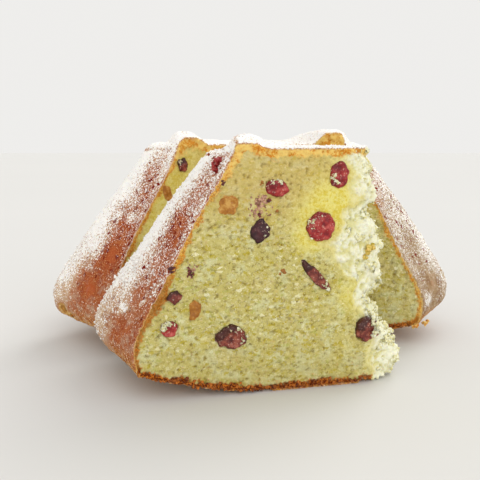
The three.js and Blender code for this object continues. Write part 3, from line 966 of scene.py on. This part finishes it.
def loaf_material(looks):
    s = Shading("baked_loaf")
    skin, crust, toast, sugar, torn, warm, hollow = (s.attribute(name) for name in FINISHES)
    x, height = (s.value("ShaderNodeSeparateXYZ", {"Vector": s.place}, axis) for axis in "XZ")
    grain = s.noise(0.0014, 3, 0.75)
    fine = s.noise(0.0007, 2, 0.6)
    mottle = s.noise(0.0042, 3, 0.6)
    broad = s.noise(0.016)
    # Crumb: soft flakes, yellow spots, misty places, and a few pores and hollows darkened with painted shade;
    # painted glow in its yellow places; whiter where it is torn, partly its own paler crumb and partly
    # painted glow
    gap, flake = s.cells(0.0021, 1.3, 1.6)
    spot, spot_pick = s.cells(0.0034, 1.5, 1.7)
    speck, speck_pick = s.cells(0.0026, 1.2)
    misty = s.noise(0.0065, 3) + height.rise(0.040, 0.010) * 0.08
    blot = (spot + (grain - 0.5) * 0.9).rise(0.52, 0.24)
    dark = (speck + (fine - 0.5) * 0.8).rise(0.28, 0.12)
    # Painted glow: the yellow places lightened as if lit from within
    glow = s.blend((grain + mottle * 0.6).rise(0.68, 0.90), looks.crumb_warm, looks.glow_pale)
    torn_here = torn + (mottle - 0.5) * 0.9 + (grain - 0.5) * 0.7
    # Painted shade: the torn end's hollows darker and yellower
    fluff = s.blend(hollow * 0.75, looks.crumb_torn, looks.torn_warm)
    flakes = s.ramp(
        flake, (0.0, looks.crumb_shade), (0.30, looks.crumb), (0.66, looks.crumb), (0.86, looks.crumb_pale),
        (1.0, looks.crumb_light))
    crumb = s.coats(
        flakes,
        (looks.crumb_mint, misty.rise(0.50, 0.68) * 0.65),
        (looks.crumb_beige, broad.rise(0.50, 0.36) * 0.25),
        (looks.crumb_gold, blot * spot_pick.rise(0.54, 0.62) * 0.80),
        (looks.crumb_green, blot * spot_pick.rise(0.30, 0.22) * 0.60),
        (looks.crumb_olive, (gap + fine - 0.5).rise(0.68, 0.90) * 0.6),
        (looks.crumb_olive, fine.rise(0.42, 0.30) * 0.45),
        (looks.crumb_light, fine.rise(0.58, 0.68) * 0.65),
        # Painted shade: a few dark pores
        (looks.crumb_deep, dark * speck_pick.rise(0.80, 0.84) * 0.85),
        (looks.crumb_tan, height.rise(0.065, 0.095) * 0.50),
        (looks.crumb_shade, height.rise(0.030, 0.004) * 0.30),
        # Painted shade in the crumb's hollows
        (looks.crumb_deep, hollow * 0.45),
        (glow, (warm + (grain - 0.5) * 0.5).rise(0.05, 1.0) * 0.85),
        # Torn end: partly its own paler, fluffier crumb, partly painted glow of light coming through it
        (looks.torn_yellow, torn_here.rise(0.12, 0.65) * 0.85),
        (fluff, torn_here.rise(0.50, 1.10) * warm.rise(1.3, 0.5)),
    )
    # Crust where it is cut through: orange in its middle, golden and pale under the skin, brown at the base,
    # partly with painted shade where the loaf meets the floor
    uneven = (grain - 0.5) * 3.0 + (mottle - 0.5) * 1.6
    bands = s.ramp(
        (crust + uneven) * 0.8, (0.06, looks.crust_tan), (0.26, looks.crust_gold), (0.44, looks.crust_orange),
        (0.66, looks.crust_gold), (0.80, looks.crust_pale), (1.0, looks.crust_orange))
    sides = toast.rise(0.25, 0.45) * toast.rise(0.85, 0.60)
    left_low = x.rise(-0.026, -0.040) * height.rise(0.064, 0.050)
    # Partly painted shade: the crust darkened towards the floor; browner low on the slice's left
    browned_and_shaded = toast.rise(0.55, 0.95) + left_low * 0.6
    charred_and_shaded = s.blend((grain + fine * 0.5).rise(0.71, 0.90), looks.crust_brown, looks.crust_orange)
    section = s.coats(
        bands,
        (looks.crust_pale, toast.rise(0.40, 0.05) * mottle.rise(0.42, 0.56)),
        (looks.crust_pale, sides * mottle.rise(0.52, 0.42) * 0.6),
        (looks.crust_brown, sides * (fine + grain * 0.7).rise(0.86, 0.98) * 0.45),
        (charred_and_shaded, browned_and_shaded * (mottle + crust * 0.4).rise(0.36, 0.60)),
    )
    # Baked skin: speckled and pitted, golden low down, and dusted; tan and greyer on the right
    right = x.rise(0.055, 0.080) * height.rise(0.013, 0.019)
    low_down = height.rise(0.060, 0.032)
    wide, wide_pick = s.cells(0.0046, 0.8)
    small, small_pick = s.cells(0.0021, 0.8)
    wide = (wide + grain * 0.5).rise(0.54, 0.44) * wide_pick.rise(0.46, 0.50)
    small = (small + grain * 0.4).rise(0.52, 0.42) * small_pick.rise(0.62, 0.67)
    pitted = s.math("MAXIMUM", wide, small) * height.rise(0.036, 0.056) * sugar.rise(1.05, 0.70)
    film = (sugar + low_down * 0.15 + mottle * 0.8).rise(0.35, 1.15)
    film_share = low_down * (right * -0.55 + 0.25) + 0.45
    veil = s.blend(right * 0.8, looks.film, looks.film_grey)
    cloudy = broad * 0.4 + mottle * 0.8
    bare = (sugar + (grain - 0.5) * 0.8).rise(-0.30, -1.00)
    powdered = (sugar + fine * 4.0 + grain * 3.0 - low_down * 0.30).rise(3.92, 4.40)
    bark = s.coats(
        s.blend(mottle.rise(0.38, 0.62), looks.skin_brown, looks.skin_red),
        (looks.skin_dark, fine.rise(0.45, 0.32) * 0.7),
        (looks.skin_pale, (fine + grain * 0.6).rise(0.86, 1.02) * 0.75),
        (looks.crust_gold, height.rise(0.024, 0.010) * grain.rise(0.40, 0.55)),
        (looks.skin_tan, right * 0.85),
        (looks.skin_pit, (hollow + pitted).rise(0.15, 0.6)),
        (veil, film * film_share * pitted.rise(0.9, 0.3)),
        (looks.skin_dark, low_down * cloudy.rise(0.60, 0.48) * 0.35),
        (looks.haze, low_down * cloudy.rise(0.58, 0.74) * 0.40),
        (looks.skin_orange, bare * 0.6),
        (looks.sugar, powdered * pitted.rise(0.8, 0.2)),
    )
    # The lip where the skin is cut through: sugar along the sides, pale crust on top and low down
    lip = skin.rise(0.15, 0.40) * skin.rise(0.95, 0.60) * toast.rise(0.95, 0.70)
    edging = s.blend(height.rise(0.035, 0.060) * height.rise(0.108, 0.100), looks.crust_pale, looks.sugar)
    inside = s.blend((crust + uneven * 0.35).rise(0.05, 0.60), crumb, section)
    s.bump(grain * 0.6 + fine * 0.4, 0.0006)
    s.finish(Base_Color=s.blend(skin, s.blend(lip * 0.75, inside, edging), bark))
    s.finish(Roughness=0.95, Specular_IOR_Level=0.1)
    return s.finish(Subsurface_Weight=0.15, Subsurface_Scale=0.002, Subsurface_Radius=(1.0, 0.8, 0.45))


def fruit_material(name, tones, looks, roughness, speckled, shaded):
    """Flesh of three tones, darker towards its upper side, with skin at its edge and pale specks."""
    deep, bright, pale, skin = tones
    s = Shading(name)
    upper = s.attribute("upper") + s.noise(0.0032) * 1.4
    rim = s.attribute("rim") + s.noise(0.003) * 0.6
    specks = s.noise(0.0010, 3, 0.6).rise(0.59, 0.67)
    flesh = s.coats(
        s.ramp(s.noise(0.0034, 4, 0.7), (0.36, deep), (0.50, bright), (0.66, pale)),
        (skin, upper.rise(0.75, 1.15) * shaded),
        (skin, rim.rise(1.16, 1.40) * 0.85),
        (looks.flesh_speck, specks * speckled),
    )
    s.bump(s.noise(0.0012, 4, 0.6), 0.0005)
    s.finish(Base_Color=flesh, Roughness=specks * 0.3 + roughness, Specular_IOR_Level=0.3)
    return s.finish(Coat_Weight=0.06, Coat_Roughness=0.15)


def lump_material(name, dark, light, roughness=0.9, size=0.0012):
    s = Shading(name)
    s.bump(s.noise(0.0005, 3, 0.6), 0.0003)
    shade = s.noise(size, 4, 0.65).rise(0.36, 0.62)
    return s.finish(Base_Color=s.blend(shade, dark, light), Roughness=roughness)


def floor_material(looks):
    s = Shading("pale_floor")
    shade = s.blend(s.noise(0.4), looks.floor, [0.97 * part for part in looks.floor])
    return s.finish(Base_Color=shade, Roughness=0.95, Specular_IOR_Level=0.1)


# ---- Settings ----
def length(name, description, default):
    return FloatProperty(
        name=name, description=description, default=default, min=0, unit="LENGTH", precision=5)


def strength(name, description, default):
    return FloatProperty(name=name, description=description, default=default, min=0)


def count(name, description, default):
    return IntProperty(name=name, description=description, default=default, min=0)


def colour(name, description, code):
    return FloatVectorProperty(
        name=name, description=description, default=tone(code), min=0, max=1, size=3, subtype="COLOR")


class LoafSizes(bpy.types.PropertyGroup):
    rest_cell: length("Rest cell", "Size of the mesh cells on the rest of the loaf", 0.00114)
    slice_cell: length("Slice cell", "Size of the slice's mesh cells, halved on its front and tear", 0.0010)
    top: length("Top crust", "Thickness of the crust on top", 0.0038)
    side: length("Side crust", "Thickness of the crust on the sides", 0.0027)
    base: length("Base crust", "Thickness of the crust below", 0.0036)
    crumb: length("Crumb relief", "How rough the cut crumb is", 0.0006)
    torn: length("Torn relief", "How rough the torn crumb is", 0.0024)
    crust: length("Crust relief", "How rough the baked surface is", 0.0003)
    powder: length("Sugar depth", "How thick the icing sugar lies", 0.0004)
    pocket: length("Pocket depth", "How far the crumb is pushed in round a fruit", 0.0006)
    pit_spacing: length("Pit spacing", "Distance between burst bubbles in the crust", 0.0042)
    pit_radius: length("Pit radius", "Size of the burst bubbles in the crust", 0.0011)


class LoafLooks(bpy.types.PropertyGroup):
    crumb: colour("Crumb", "The cut crumb", "C6BB72")
    crumb_shade: colour("Crumb shade", "Darker flakes of the crumb", "AC9C4E")
    crumb_olive: colour("Olive crumb", "The darkest flakes of the crumb", "7E6E2C")
    crumb_pale: colour("Pale crumb", "Pale flakes of the crumb", "D9D194")
    crumb_light: colour("Light crumb", "The lightest flakes of the crumb", "EEEAC6")
    crumb_gold: colour("Gold crumb", "Golden patches of the crumb", "B8A634")
    crumb_green: colour("Green crumb", "Greenish patches of the crumb", "AEAE52")
    crumb_mint: colour("Misty crumb", "Soft whitish places of the crumb", "D4D5A8")
    crumb_beige: colour("Beige crumb", "Greyer patches of the crumb", "D6C690")
    crumb_tan: colour("Tan crumb", "The crumb near the top", "CEB26C")
    # The next two are painted glow: yellow crumb lightened as if light came through it
    crumb_warm: colour("Warm crumb", "Yellow places near the torn end", "DCC848")
    glow_pale: colour("Pale warm crumb", "The lighter part of the yellow places", "ECE488")
    # Painted shade in the torn end's hollows
    torn_warm: colour("Torn hollows", "The hollows of the torn end", "DAD48C")
    # The torn end's colours: partly its own paler crumb, partly painted glow
    crumb_torn: colour("Torn crumb", "The fluffy torn end", "F2F2DA")
    torn_yellow: colour("Torn yellow", "Yellower places of the torn end", "E4DA92")
    # Painted shade at the bottom of the pores and hollows
    crumb_deep: colour("Pores", "The bottom of the crumb's pores", "846A28")
    crust_pale: colour("Pale crust", "The lightest of the cut crust", "ECCA74")
    crust_gold: colour("Gold crust", "Golden parts of the cut crust", "DCA23C")
    crust_orange: colour("Orange crust", "Orange parts of the cut crust", "C87426")
    crust_tan: colour("Tan crust", "The cut crust next to the crumb", "D8B660")
    # Partly painted shade: darkened to stand for the shadow where the base meets the floor
    crust_brown: colour("Brown crust", "The darkest of the cut crust, at the base", "60240D")
    skin_brown: colour("Brown skin", "The baked surface", "B2623A")
    skin_red: colour("Red-brown skin", "Darker places of the baked surface", "943E22")
    skin_orange: colour("Orange skin", "Bare places of the baked surface low down", "B65A2E")
    skin_dark: colour("Dark skin", "Dark grains of the baked surface", "6A2812")
    skin_pale: colour("Pale skin", "Light grains of the baked surface", "DCAA6E")
    skin_tan: colour("Tan skin", "The paler skin on the right", "9A8664")
    skin_pit: colour("Pits", "Burst bubbles in the crust", "7A1E12")
    film_grey: colour("Greyer thin sugar", "Thin sugar on the right", "C8B89C")
    haze: colour("Sugar haze", "Sugar that has soaked into the baked surface", "C8A88C")
    film: colour("Thin sugar", "The baked surface under a thin film of sugar", "D8BE98")
    sugar: colour("Icing sugar", "The dusting", "FAF7F2")
    raisin_dark: colour("Dark raisin", "The darkest raisins", "3E181E")
    raisin_black: colour("Black raisin", "The darkest parts of the darkest raisins", "220C12")
    raisin_sheen: colour("Raisin sheen", "Lighter parts of the darkest raisins", "562A2E")
    raisin_brown: colour("Brown raisin", "Raisins cut open", "7A342A")
    raisin_red: colour("Red raisin", "The deeper flesh of the raisins cut open", "4C1C18")
    raisin_pale: colour("Pale raisin", "The lighter flesh of the raisins cut open", "A65E48")
    raisin_skin: colour("Raisin skin", "The outer skin of a raisin", "34120E")
    cranberry: colour("Cranberry", "Bright flesh of a cranberry", "9C2424")
    cranberry_deep: colour("Deep cranberry", "Dark flesh of a cranberry", "72161E")
    cranberry_pale: colour("Pale cranberry", "Light flesh of a cranberry", "C0544A")
    cranberry_skin: colour("Cranberry skin", "The outer skin of a cranberry", "5E1218")
    flesh_speck: colour("Fruit specks", "Pale specks on the fruit", "E4C4B0")
    broken_dark: colour("Broken raisin", "The darker bits of a broken raisin", "7A4034")
    broken_pale: colour("Pale broken raisin", "The lighter bits of a broken raisin", "D0A488")
    peel: colour("Peel", "Candied peel", "AC7022")
    peel_deep: colour("Deep peel", "Darker parts of the peel", "945A1C")
    peel_pale: colour("Pale peel", "Lighter parts of the peel", "D0A254")
    floor: colour("Floor", "The floor it stands on", "D7D6D3")


class LoafCounts(bpy.types.PropertyGroup):
    tufts: count("Tufts", "Torn tufts of crumb on the slice's end", 900)
    crumbs: count("Crumbs", "Loose crumbs along the foot of each portion's cut crust", 420)
    sugar: count("Sugar lumps", "Lumps of icing sugar on each portion", 2600)
    drifts: count("Sugar drifts", "Larger lumps where each portion's sugar ends", 220)


class StageSettings(bpy.types.PropertyGroup):
    floor_size: length("Floor size", "Width of the floor", 8.0)
    lens: FloatProperty(name="Lens", description="Focal length of the camera", default=47.856, unit="CAMERA")
    camera: FloatVectorProperty(
        name="Camera", description="Where the camera is", default=(-0.00955, -0.37996, 0.11712),
        size=3, subtype="TRANSLATION", unit="LENGTH", precision=5)
    pitch: FloatProperty(
        name="Pitch", description="How far the camera looks down", default=math.radians(9.30),
        subtype="ANGLE")
    sky: strength("Sky", "Strength of the even light", 0.86)
    key: strength("Key", "Strength of the light behind", 1.2)
    fill: strength("Fill", "Strength of the light in front", 0.85)


def loaf_sizes(context):
    """The size settings as plain values."""
    settings = context.scene.loaf_sizes
    return {name: getattr(settings, name) for name in LoafSizes.__annotations__}


class LoafOperator(bpy.types.Operator):
    bl_options = {"REGISTER", "UNDO"}


def built(name):
    """A piece that an earlier step made."""
    if name not in bpy.data.objects:
        raise RuntimeError(f"{name} isn't there yet: run the steps from the top")
    return bpy.data.objects[name]


class LOAF_OT_rest(LoafOperator):
    """Make the rest of the loaf, with its notch"""
    bl_idname = "loaf.rest"
    bl_label = "Rest of the loaf"

    def execute(self, context):
        sizes = loaf_sizes(context)
        cell = sizes["rest_cell"] * 1
        piece = make_portion(REST, "loaf_rest", cell, sizes)
        piece.data.materials.append(loaf_material(context.scene.loaf_looks))
        return {"FINISHED"}


class LOAF_OT_slice(LoafOperator):
    """Make the slice that stands in front"""
    bl_idname = "loaf.slice"
    bl_label = "Slice"

    def execute(self, context):
        sizes = loaf_sizes(context)
        cell = sizes["slice_cell"] * 1
        piece = make_portion(SLICE, "loaf_slice", cell, sizes)
        piece.data.materials.append(built("loaf_rest").data.materials[0])
        return {"FINISHED"}


class LOAF_OT_fruit(LoafOperator):
    """Make the raisins, cranberries and peel in the cut faces"""
    bl_idname = "loaf.fruit"
    bl_label = "Fruit"

    def execute(self, context):
        looks = context.scene.loaf_looks
        tones = {
            "dark_raisin": (looks.raisin_black, looks.raisin_dark, looks.raisin_sheen, looks.raisin_black),
            "raisin": (looks.raisin_red, looks.raisin_brown, looks.raisin_pale, looks.raisin_skin),
            "cranberry": (looks.cranberry_deep, looks.cranberry, looks.cranberry_pale, looks.cranberry_skin),
            "peel": (looks.peel_deep, looks.peel, looks.peel_pale, looks.peel_pale),
        }
        finishes = {
            "dark_raisin": (0.45, 0.3, 0.0), "raisin": (0.30, 0.45, 0.85), "cranberry": (0.30, 0.5, 0.3),
            "peel": (0.45, 0.1, 0.0)}
        materials = {kind: fruit_material(kind, tones[kind], looks, *finishes[kind]) for kind in tones}
        for number, seat in enumerate(all_seats()):
            kind = "dark_raisin" if seat.name in DARK_RAISINS else seat.name.split("_")[0]
            make_fruit(seat, number, materials[kind])
        return {"FINISHED"}


# Widths of loose lumps, from the least to the greatest, and where some of them lie
TUFTS = (0.0008, 0.0034)
CRUST_CRUMBS = (0.0005, 0.0019)
SUGAR_LUMPS = (0.0003, 0.0011)
SUGAR_DRIFTS = (0.0006, 0.0020)
CRUMBS_BELOW = 0.012
DRIFT_HEIGHTS = (0.030, 0.062)


class LOAF_OT_crumbs(LoafOperator):
    """Scatter torn tufts and loose crumbs"""
    bl_idname = "loaf.crumbs"
    bl_label = "Crumbs"

    def execute(self, context):
        looks = context.scene.loaf_looks
        counts = context.scene.loaf_counts
        draw = random.Random(CRUMB_SEED)
        piece = built("loaf_slice")
        torn = spots_where(
            piece,
            lambda place, normal, finish: finish["torn"] > 0.9 and finish["skin"] < 0.3 and normal.y > -0.5)
        tufts = scattered(
            "crumb_tufts", torn, counts.tufts, TUFTS, draw, fineness=2, sink=0.3, rough=0.55, flatness=0.25)
        # The tufts take the torn end's colours, which are partly painted glow
        pale = lump_material("torn_crumb", looks.torn_yellow, looks.crumb_torn)
        add_piece(tufts, pale)
        pale = lump_material("clinging_crumb", looks.crumb_pale, looks.crumb_torn)
        add_piece(self.clinging(draw), pale)
        for portion, name in ((built("loaf_rest"), "rest"), (piece, "slice")):
            edge = spots_where(
                portion,
                lambda place, normal, finish:
                finish["crust"] > 0.3 and finish["skin"] < 0.5 and place.z < CRUMBS_BELOW)
            crumbs = scattered(f"crust_crumbs_{name}", edge, counts.crumbs, CRUST_CRUMBS, draw, rough=0.4)
            brown = lump_material(f"crust_crumb_{name}", looks.crust_brown, looks.crust_orange, size=0.003)
            add_piece(crumbs, brown)
        return {"FINISHED"}

    def clinging(self, draw):
        """Crumbs on the edges of the fruits."""
        bm = bmesh.new()
        for seat in all_seats():
            count, side, widest = CLINGING.get(seat.name, (0, 0, 0))
            for _ in range(count):
                turn = math.radians(draw.gauss(side, 35))
                share = draw.uniform(0.55, 1.0)
                place = seat.at(share * math.cos(turn), share - 1.6, share * math.sin(turn))
                add_lump(bm, place, lerp(0.25, 1.0, draw.random() ** 1.8) * widest, draw, 2, 0.6, 0.3)
        return finished(bm, "fruit_crumbs")


class LOAF_OT_sugar(LoafOperator):
    """Scatter small lumps of icing sugar on the crust"""
    bl_idname = "loaf.sugar"
    bl_label = "Sugar lumps"

    def execute(self, context):
        looks = context.scene.loaf_looks
        counts = context.scene.loaf_counts
        draw = random.Random(SUGAR_SEED)
        material = lump_material("icing_sugar", [0.9 * part for part in looks.sugar], looks.sugar)
        for name in ("rest", "slice"):
            piece = built(f"loaf_{name}")
            dusted = spots_where(
                piece, lambda place, normal, finish: finish["sugar"] > 0.15 and finish["skin"] > 0.9)
            grains = scattered(f"sugar_lumps_{name}", dusted, counts.sugar, SUGAR_LUMPS, draw)
            add_piece(grains, material)
            low, high = DRIFT_HEIGHTS
            drifted = spots_where(
                piece, lambda place, normal, finish: finish["sugar"] > 0.85 and low < place.z < high)
            clumps = scattered(f"sugar_drifts_{name}", drifted, counts.drifts, SUGAR_DRIFTS, draw)
            add_piece(clumps, material)
        return {"FINISHED"}


# Bits of fruit in the slice's front: how far from the axis, how high, how far spread, how many, how wide
BROKEN_RAISIN = (
    (0.0384, 0.0872, 0.0040, 60, 0.0017),
    (0.0384, 0.0835, 0.0040, 30, 0.0013),
    (0.0690, 0.0600, 0.0036, 14, 0.0013),
)
DARK_BITS = (
    (0.0345, 0.0885, 0.0010, 3, 0.0018),
    (0.0400, 0.0822, 0.0014, 5, 0.0016),
    (0.0779, 0.0596, 0.0014, 9, 0.0020),
    (0.0704, 0.0583, 0.0026, 12, 0.0018),
    (0.0555, 0.0969, 0.0014, 8, 0.0018),
)
PEEL_BITS = (
    (0.0285, 0.0563, 0.0012, 5, 0.0024),
    (0.0315, 0.0841, 0.0010, 4, 0.0018),
    (0.0380, 0.0966, 0.0010, 4, 0.0018),
)
# The strip of peel on the slice's torn end, lump by lump: x, height and width
TORN_PEEL = (
    (0.0118, 0.0614, 0.0018), (0.0136, 0.0622, 0.0022), (0.0152, 0.0632, 0.0026), (0.0168, 0.0642, 0.0030),
    (0.0184, 0.0652, 0.0034), (0.0196, 0.0662, 0.0028))

# A patch's middle in its portion's frame, how far it spreads, how many lumps it has and how wide they are:
# the fruit that shows through the slice's crust, and the crumbs at the foot of the notch's wall
RED_PATCH = (Vector((-0.0563, 0.0072, 0.1047)), (0.0010, 0.0007, 0.0012), 24, 0.0028)
FOOT_CRUMBS = (Vector((0.0885, -0.0345, 0.0115)), (0.0024, 0.0016, 0.0012), 10, 0.0030)


class LOAF_OT_bits(LoafOperator):
    """Set small bits of raisin and peel into the slice's front, and the last crumbs"""
    bl_idname = "loaf.bits"
    bl_label = "Bits of fruit"

    def execute(self, context):
        looks = context.scene.loaf_looks
        draw = random.Random(BITS_SEED)
        face = SLICE.face_matrix(SLICE.cuts[0])
        kinds = (
            ("broken_raisin", "raisin", BROKEN_RAISIN, (looks.broken_dark, looks.broken_pale, 0.6, 0.0022)),
            ("raisin_bits", "raisin", DARK_BITS, (looks.raisin_dark, looks.raisin_brown, 0.5)),
            ("peel_bits", "peel", PEEL_BITS, (looks.peel_deep, looks.peel, 0.4)),
        )
        for name, slot, groups, shades in kinds:
            bm = bmesh.new()
            for along, up, spread, count, width in groups:
                for _ in range(count):
                    x = -along + draw.gauss(0, spread / 2)
                    z = up + draw.gauss(0, spread / 2)
                    add_lump(bm, face @ Vector((x, 0.0002, z)), width * draw.uniform(0.5, 1.1), draw, 2)
            add_piece(finished(bm, name), lump_material(name.removesuffix("s"), *shades))
        red = built("cranberry_low_look").data.materials[0]
        golden = lump_material("foot_crumb", looks.crust_orange, looks.crust_pale)
        patches = (
            ("crust_fruit", "cranberry", SLICE, RED_PATCH, red),
            ("foot_crumbs", "cake", REST, FOOT_CRUMBS, golden),
        )
        for name, slot, portion, (middle, spread, count, width), material in patches:
            bm = bmesh.new()
            for _ in range(count):
                place = portion.place @ (middle + Vector([draw.gauss(0, reach) for reach in spread]))
                size = width * draw.uniform(0.5, 1.0)
                place.z = max(place.z, LUMP_REACH * size)
                add_lump(bm, place, size, draw, 2, 0.35)
            piece = finished(bm, name)
            for layer in ("rim", "upper"):
                piece.data.attributes.new(layer, "FLOAT", "POINT")
            add_piece(piece, material)
        self.torn_peel(draw, lump_material("torn_peel", looks.crumb_gold, looks.crust_pale))
        return {"FINISHED"}

    def torn_peel(self, draw, material):
        """A strip of peel that lies on the slice's torn end."""
        surface = [vert.co for vert in built("loaf_slice").data.vertices]
        bm = bmesh.new()
        for x, z, width in TORN_PEEL:
            in_front = SLICE.place @ Vector((x, 0, z))
            place = min(surface, key=lambda co: (co - in_front).length_squared)
            add_lump(bm, place, width, draw, 3, 0.5)
        add_piece(finished(bm, "torn_peel"), material)


class LOAF_OT_stage(LoafOperator):
    """Lay the floor and set the lights and the camera"""
    bl_idname = "loaf.stage"
    bl_label = "Floor, lights and camera"

    def execute(self, context):
        stage = context.scene.loaf_stage
        bm = bmesh.new()
        bmesh.ops.create_grid(bm, x_segments=1, y_segments=1, size=stage.floor_size / 2)
        floor = finished(bm, "floor")
        floor.data.materials.append(floor_material(context.scene.loaf_looks))
        world = bpy.data.worlds.new("studio")
        world.use_nodes = True
        background = world.node_tree.nodes["Background"]
        background.inputs["Color"].default_value = (1.0, 0.99, 0.97, 1)
        background.inputs["Strength"].default_value = stage.sky
        context.scene.world = world
        self.light("key", (0.55, 0.65, 0.85), 40, stage.key)
        self.light("fill", (0.35, -1.1, 0.60), 60, stage.fill)
        camera = bpy.data.objects.new("camera", bpy.data.cameras.new("camera"))
        camera.data.lens = stage.lens
        camera.location = stage.camera
        camera.rotation_euler = (math.pi / 2 - stage.pitch, 0, 0)
        context.scene.collection.objects.link(camera)
        context.scene.camera = camera
        context.scene.view_settings.view_transform = "Standard"
        return {"FINISHED"}

    def light(self, name, place, width, strength):
        """A broad soft light far off, which lights the whole floor evenly."""
        lamp = bpy.data.lights.new(name, "SUN")
        lamp.angle = math.radians(width)
        lamp.energy = strength
        holder = bpy.data.objects.new(name, lamp)
        holder.location = place
        holder.rotation_euler = (-Vector(place)).to_track_quat("-Z", "Y").to_euler()
        bpy.context.scene.collection.objects.link(holder)


STEPS = (
    LOAF_OT_rest, LOAF_OT_slice, LOAF_OT_fruit, LOAF_OT_crumbs, LOAF_OT_sugar, LOAF_OT_bits, LOAF_OT_stage)
GROUPS = {
    "loaf_sizes": LoafSizes, "loaf_looks": LoafLooks, "loaf_counts": LoafCounts, "loaf_stage": StageSettings}


class LOAF_PT_panel(bpy.types.Panel):
    """The steps that build the loaf, and their settings"""
    bl_idname = "LOAF_PT_panel"
    bl_label = "Fruit Loaf"
    bl_space_type = "VIEW_3D"
    bl_region_type = "UI"
    bl_category = "Fruit Loaf"

    def draw(self, context):
        for step in STEPS:
            self.layout.operator(step.bl_idname)
        for group, kind in GROUPS.items():
            box = self.layout.box()
            for name in kind.__annotations__:
                box.prop(getattr(context.scene, group), name)


def register():
    for kind in (*GROUPS.values(), *STEPS, LOAF_PT_panel):
        bpy.utils.register_class(kind)
    for group, kind in GROUPS.items():
        setattr(bpy.types.Scene, group, PointerProperty(type=kind))


def unregister():
    for group in GROUPS:
        delattr(bpy.types.Scene, group)
    for kind in reversed((*GROUPS.values(), *STEPS, LOAF_PT_panel)):
        bpy.utils.unregister_class(kind)


def main():
    register()
    for step in STEPS:
        area, name = step.bl_idname.split(".")
        getattr(getattr(bpy.ops, area), name)()


if __name__ == "__main__":
    main()
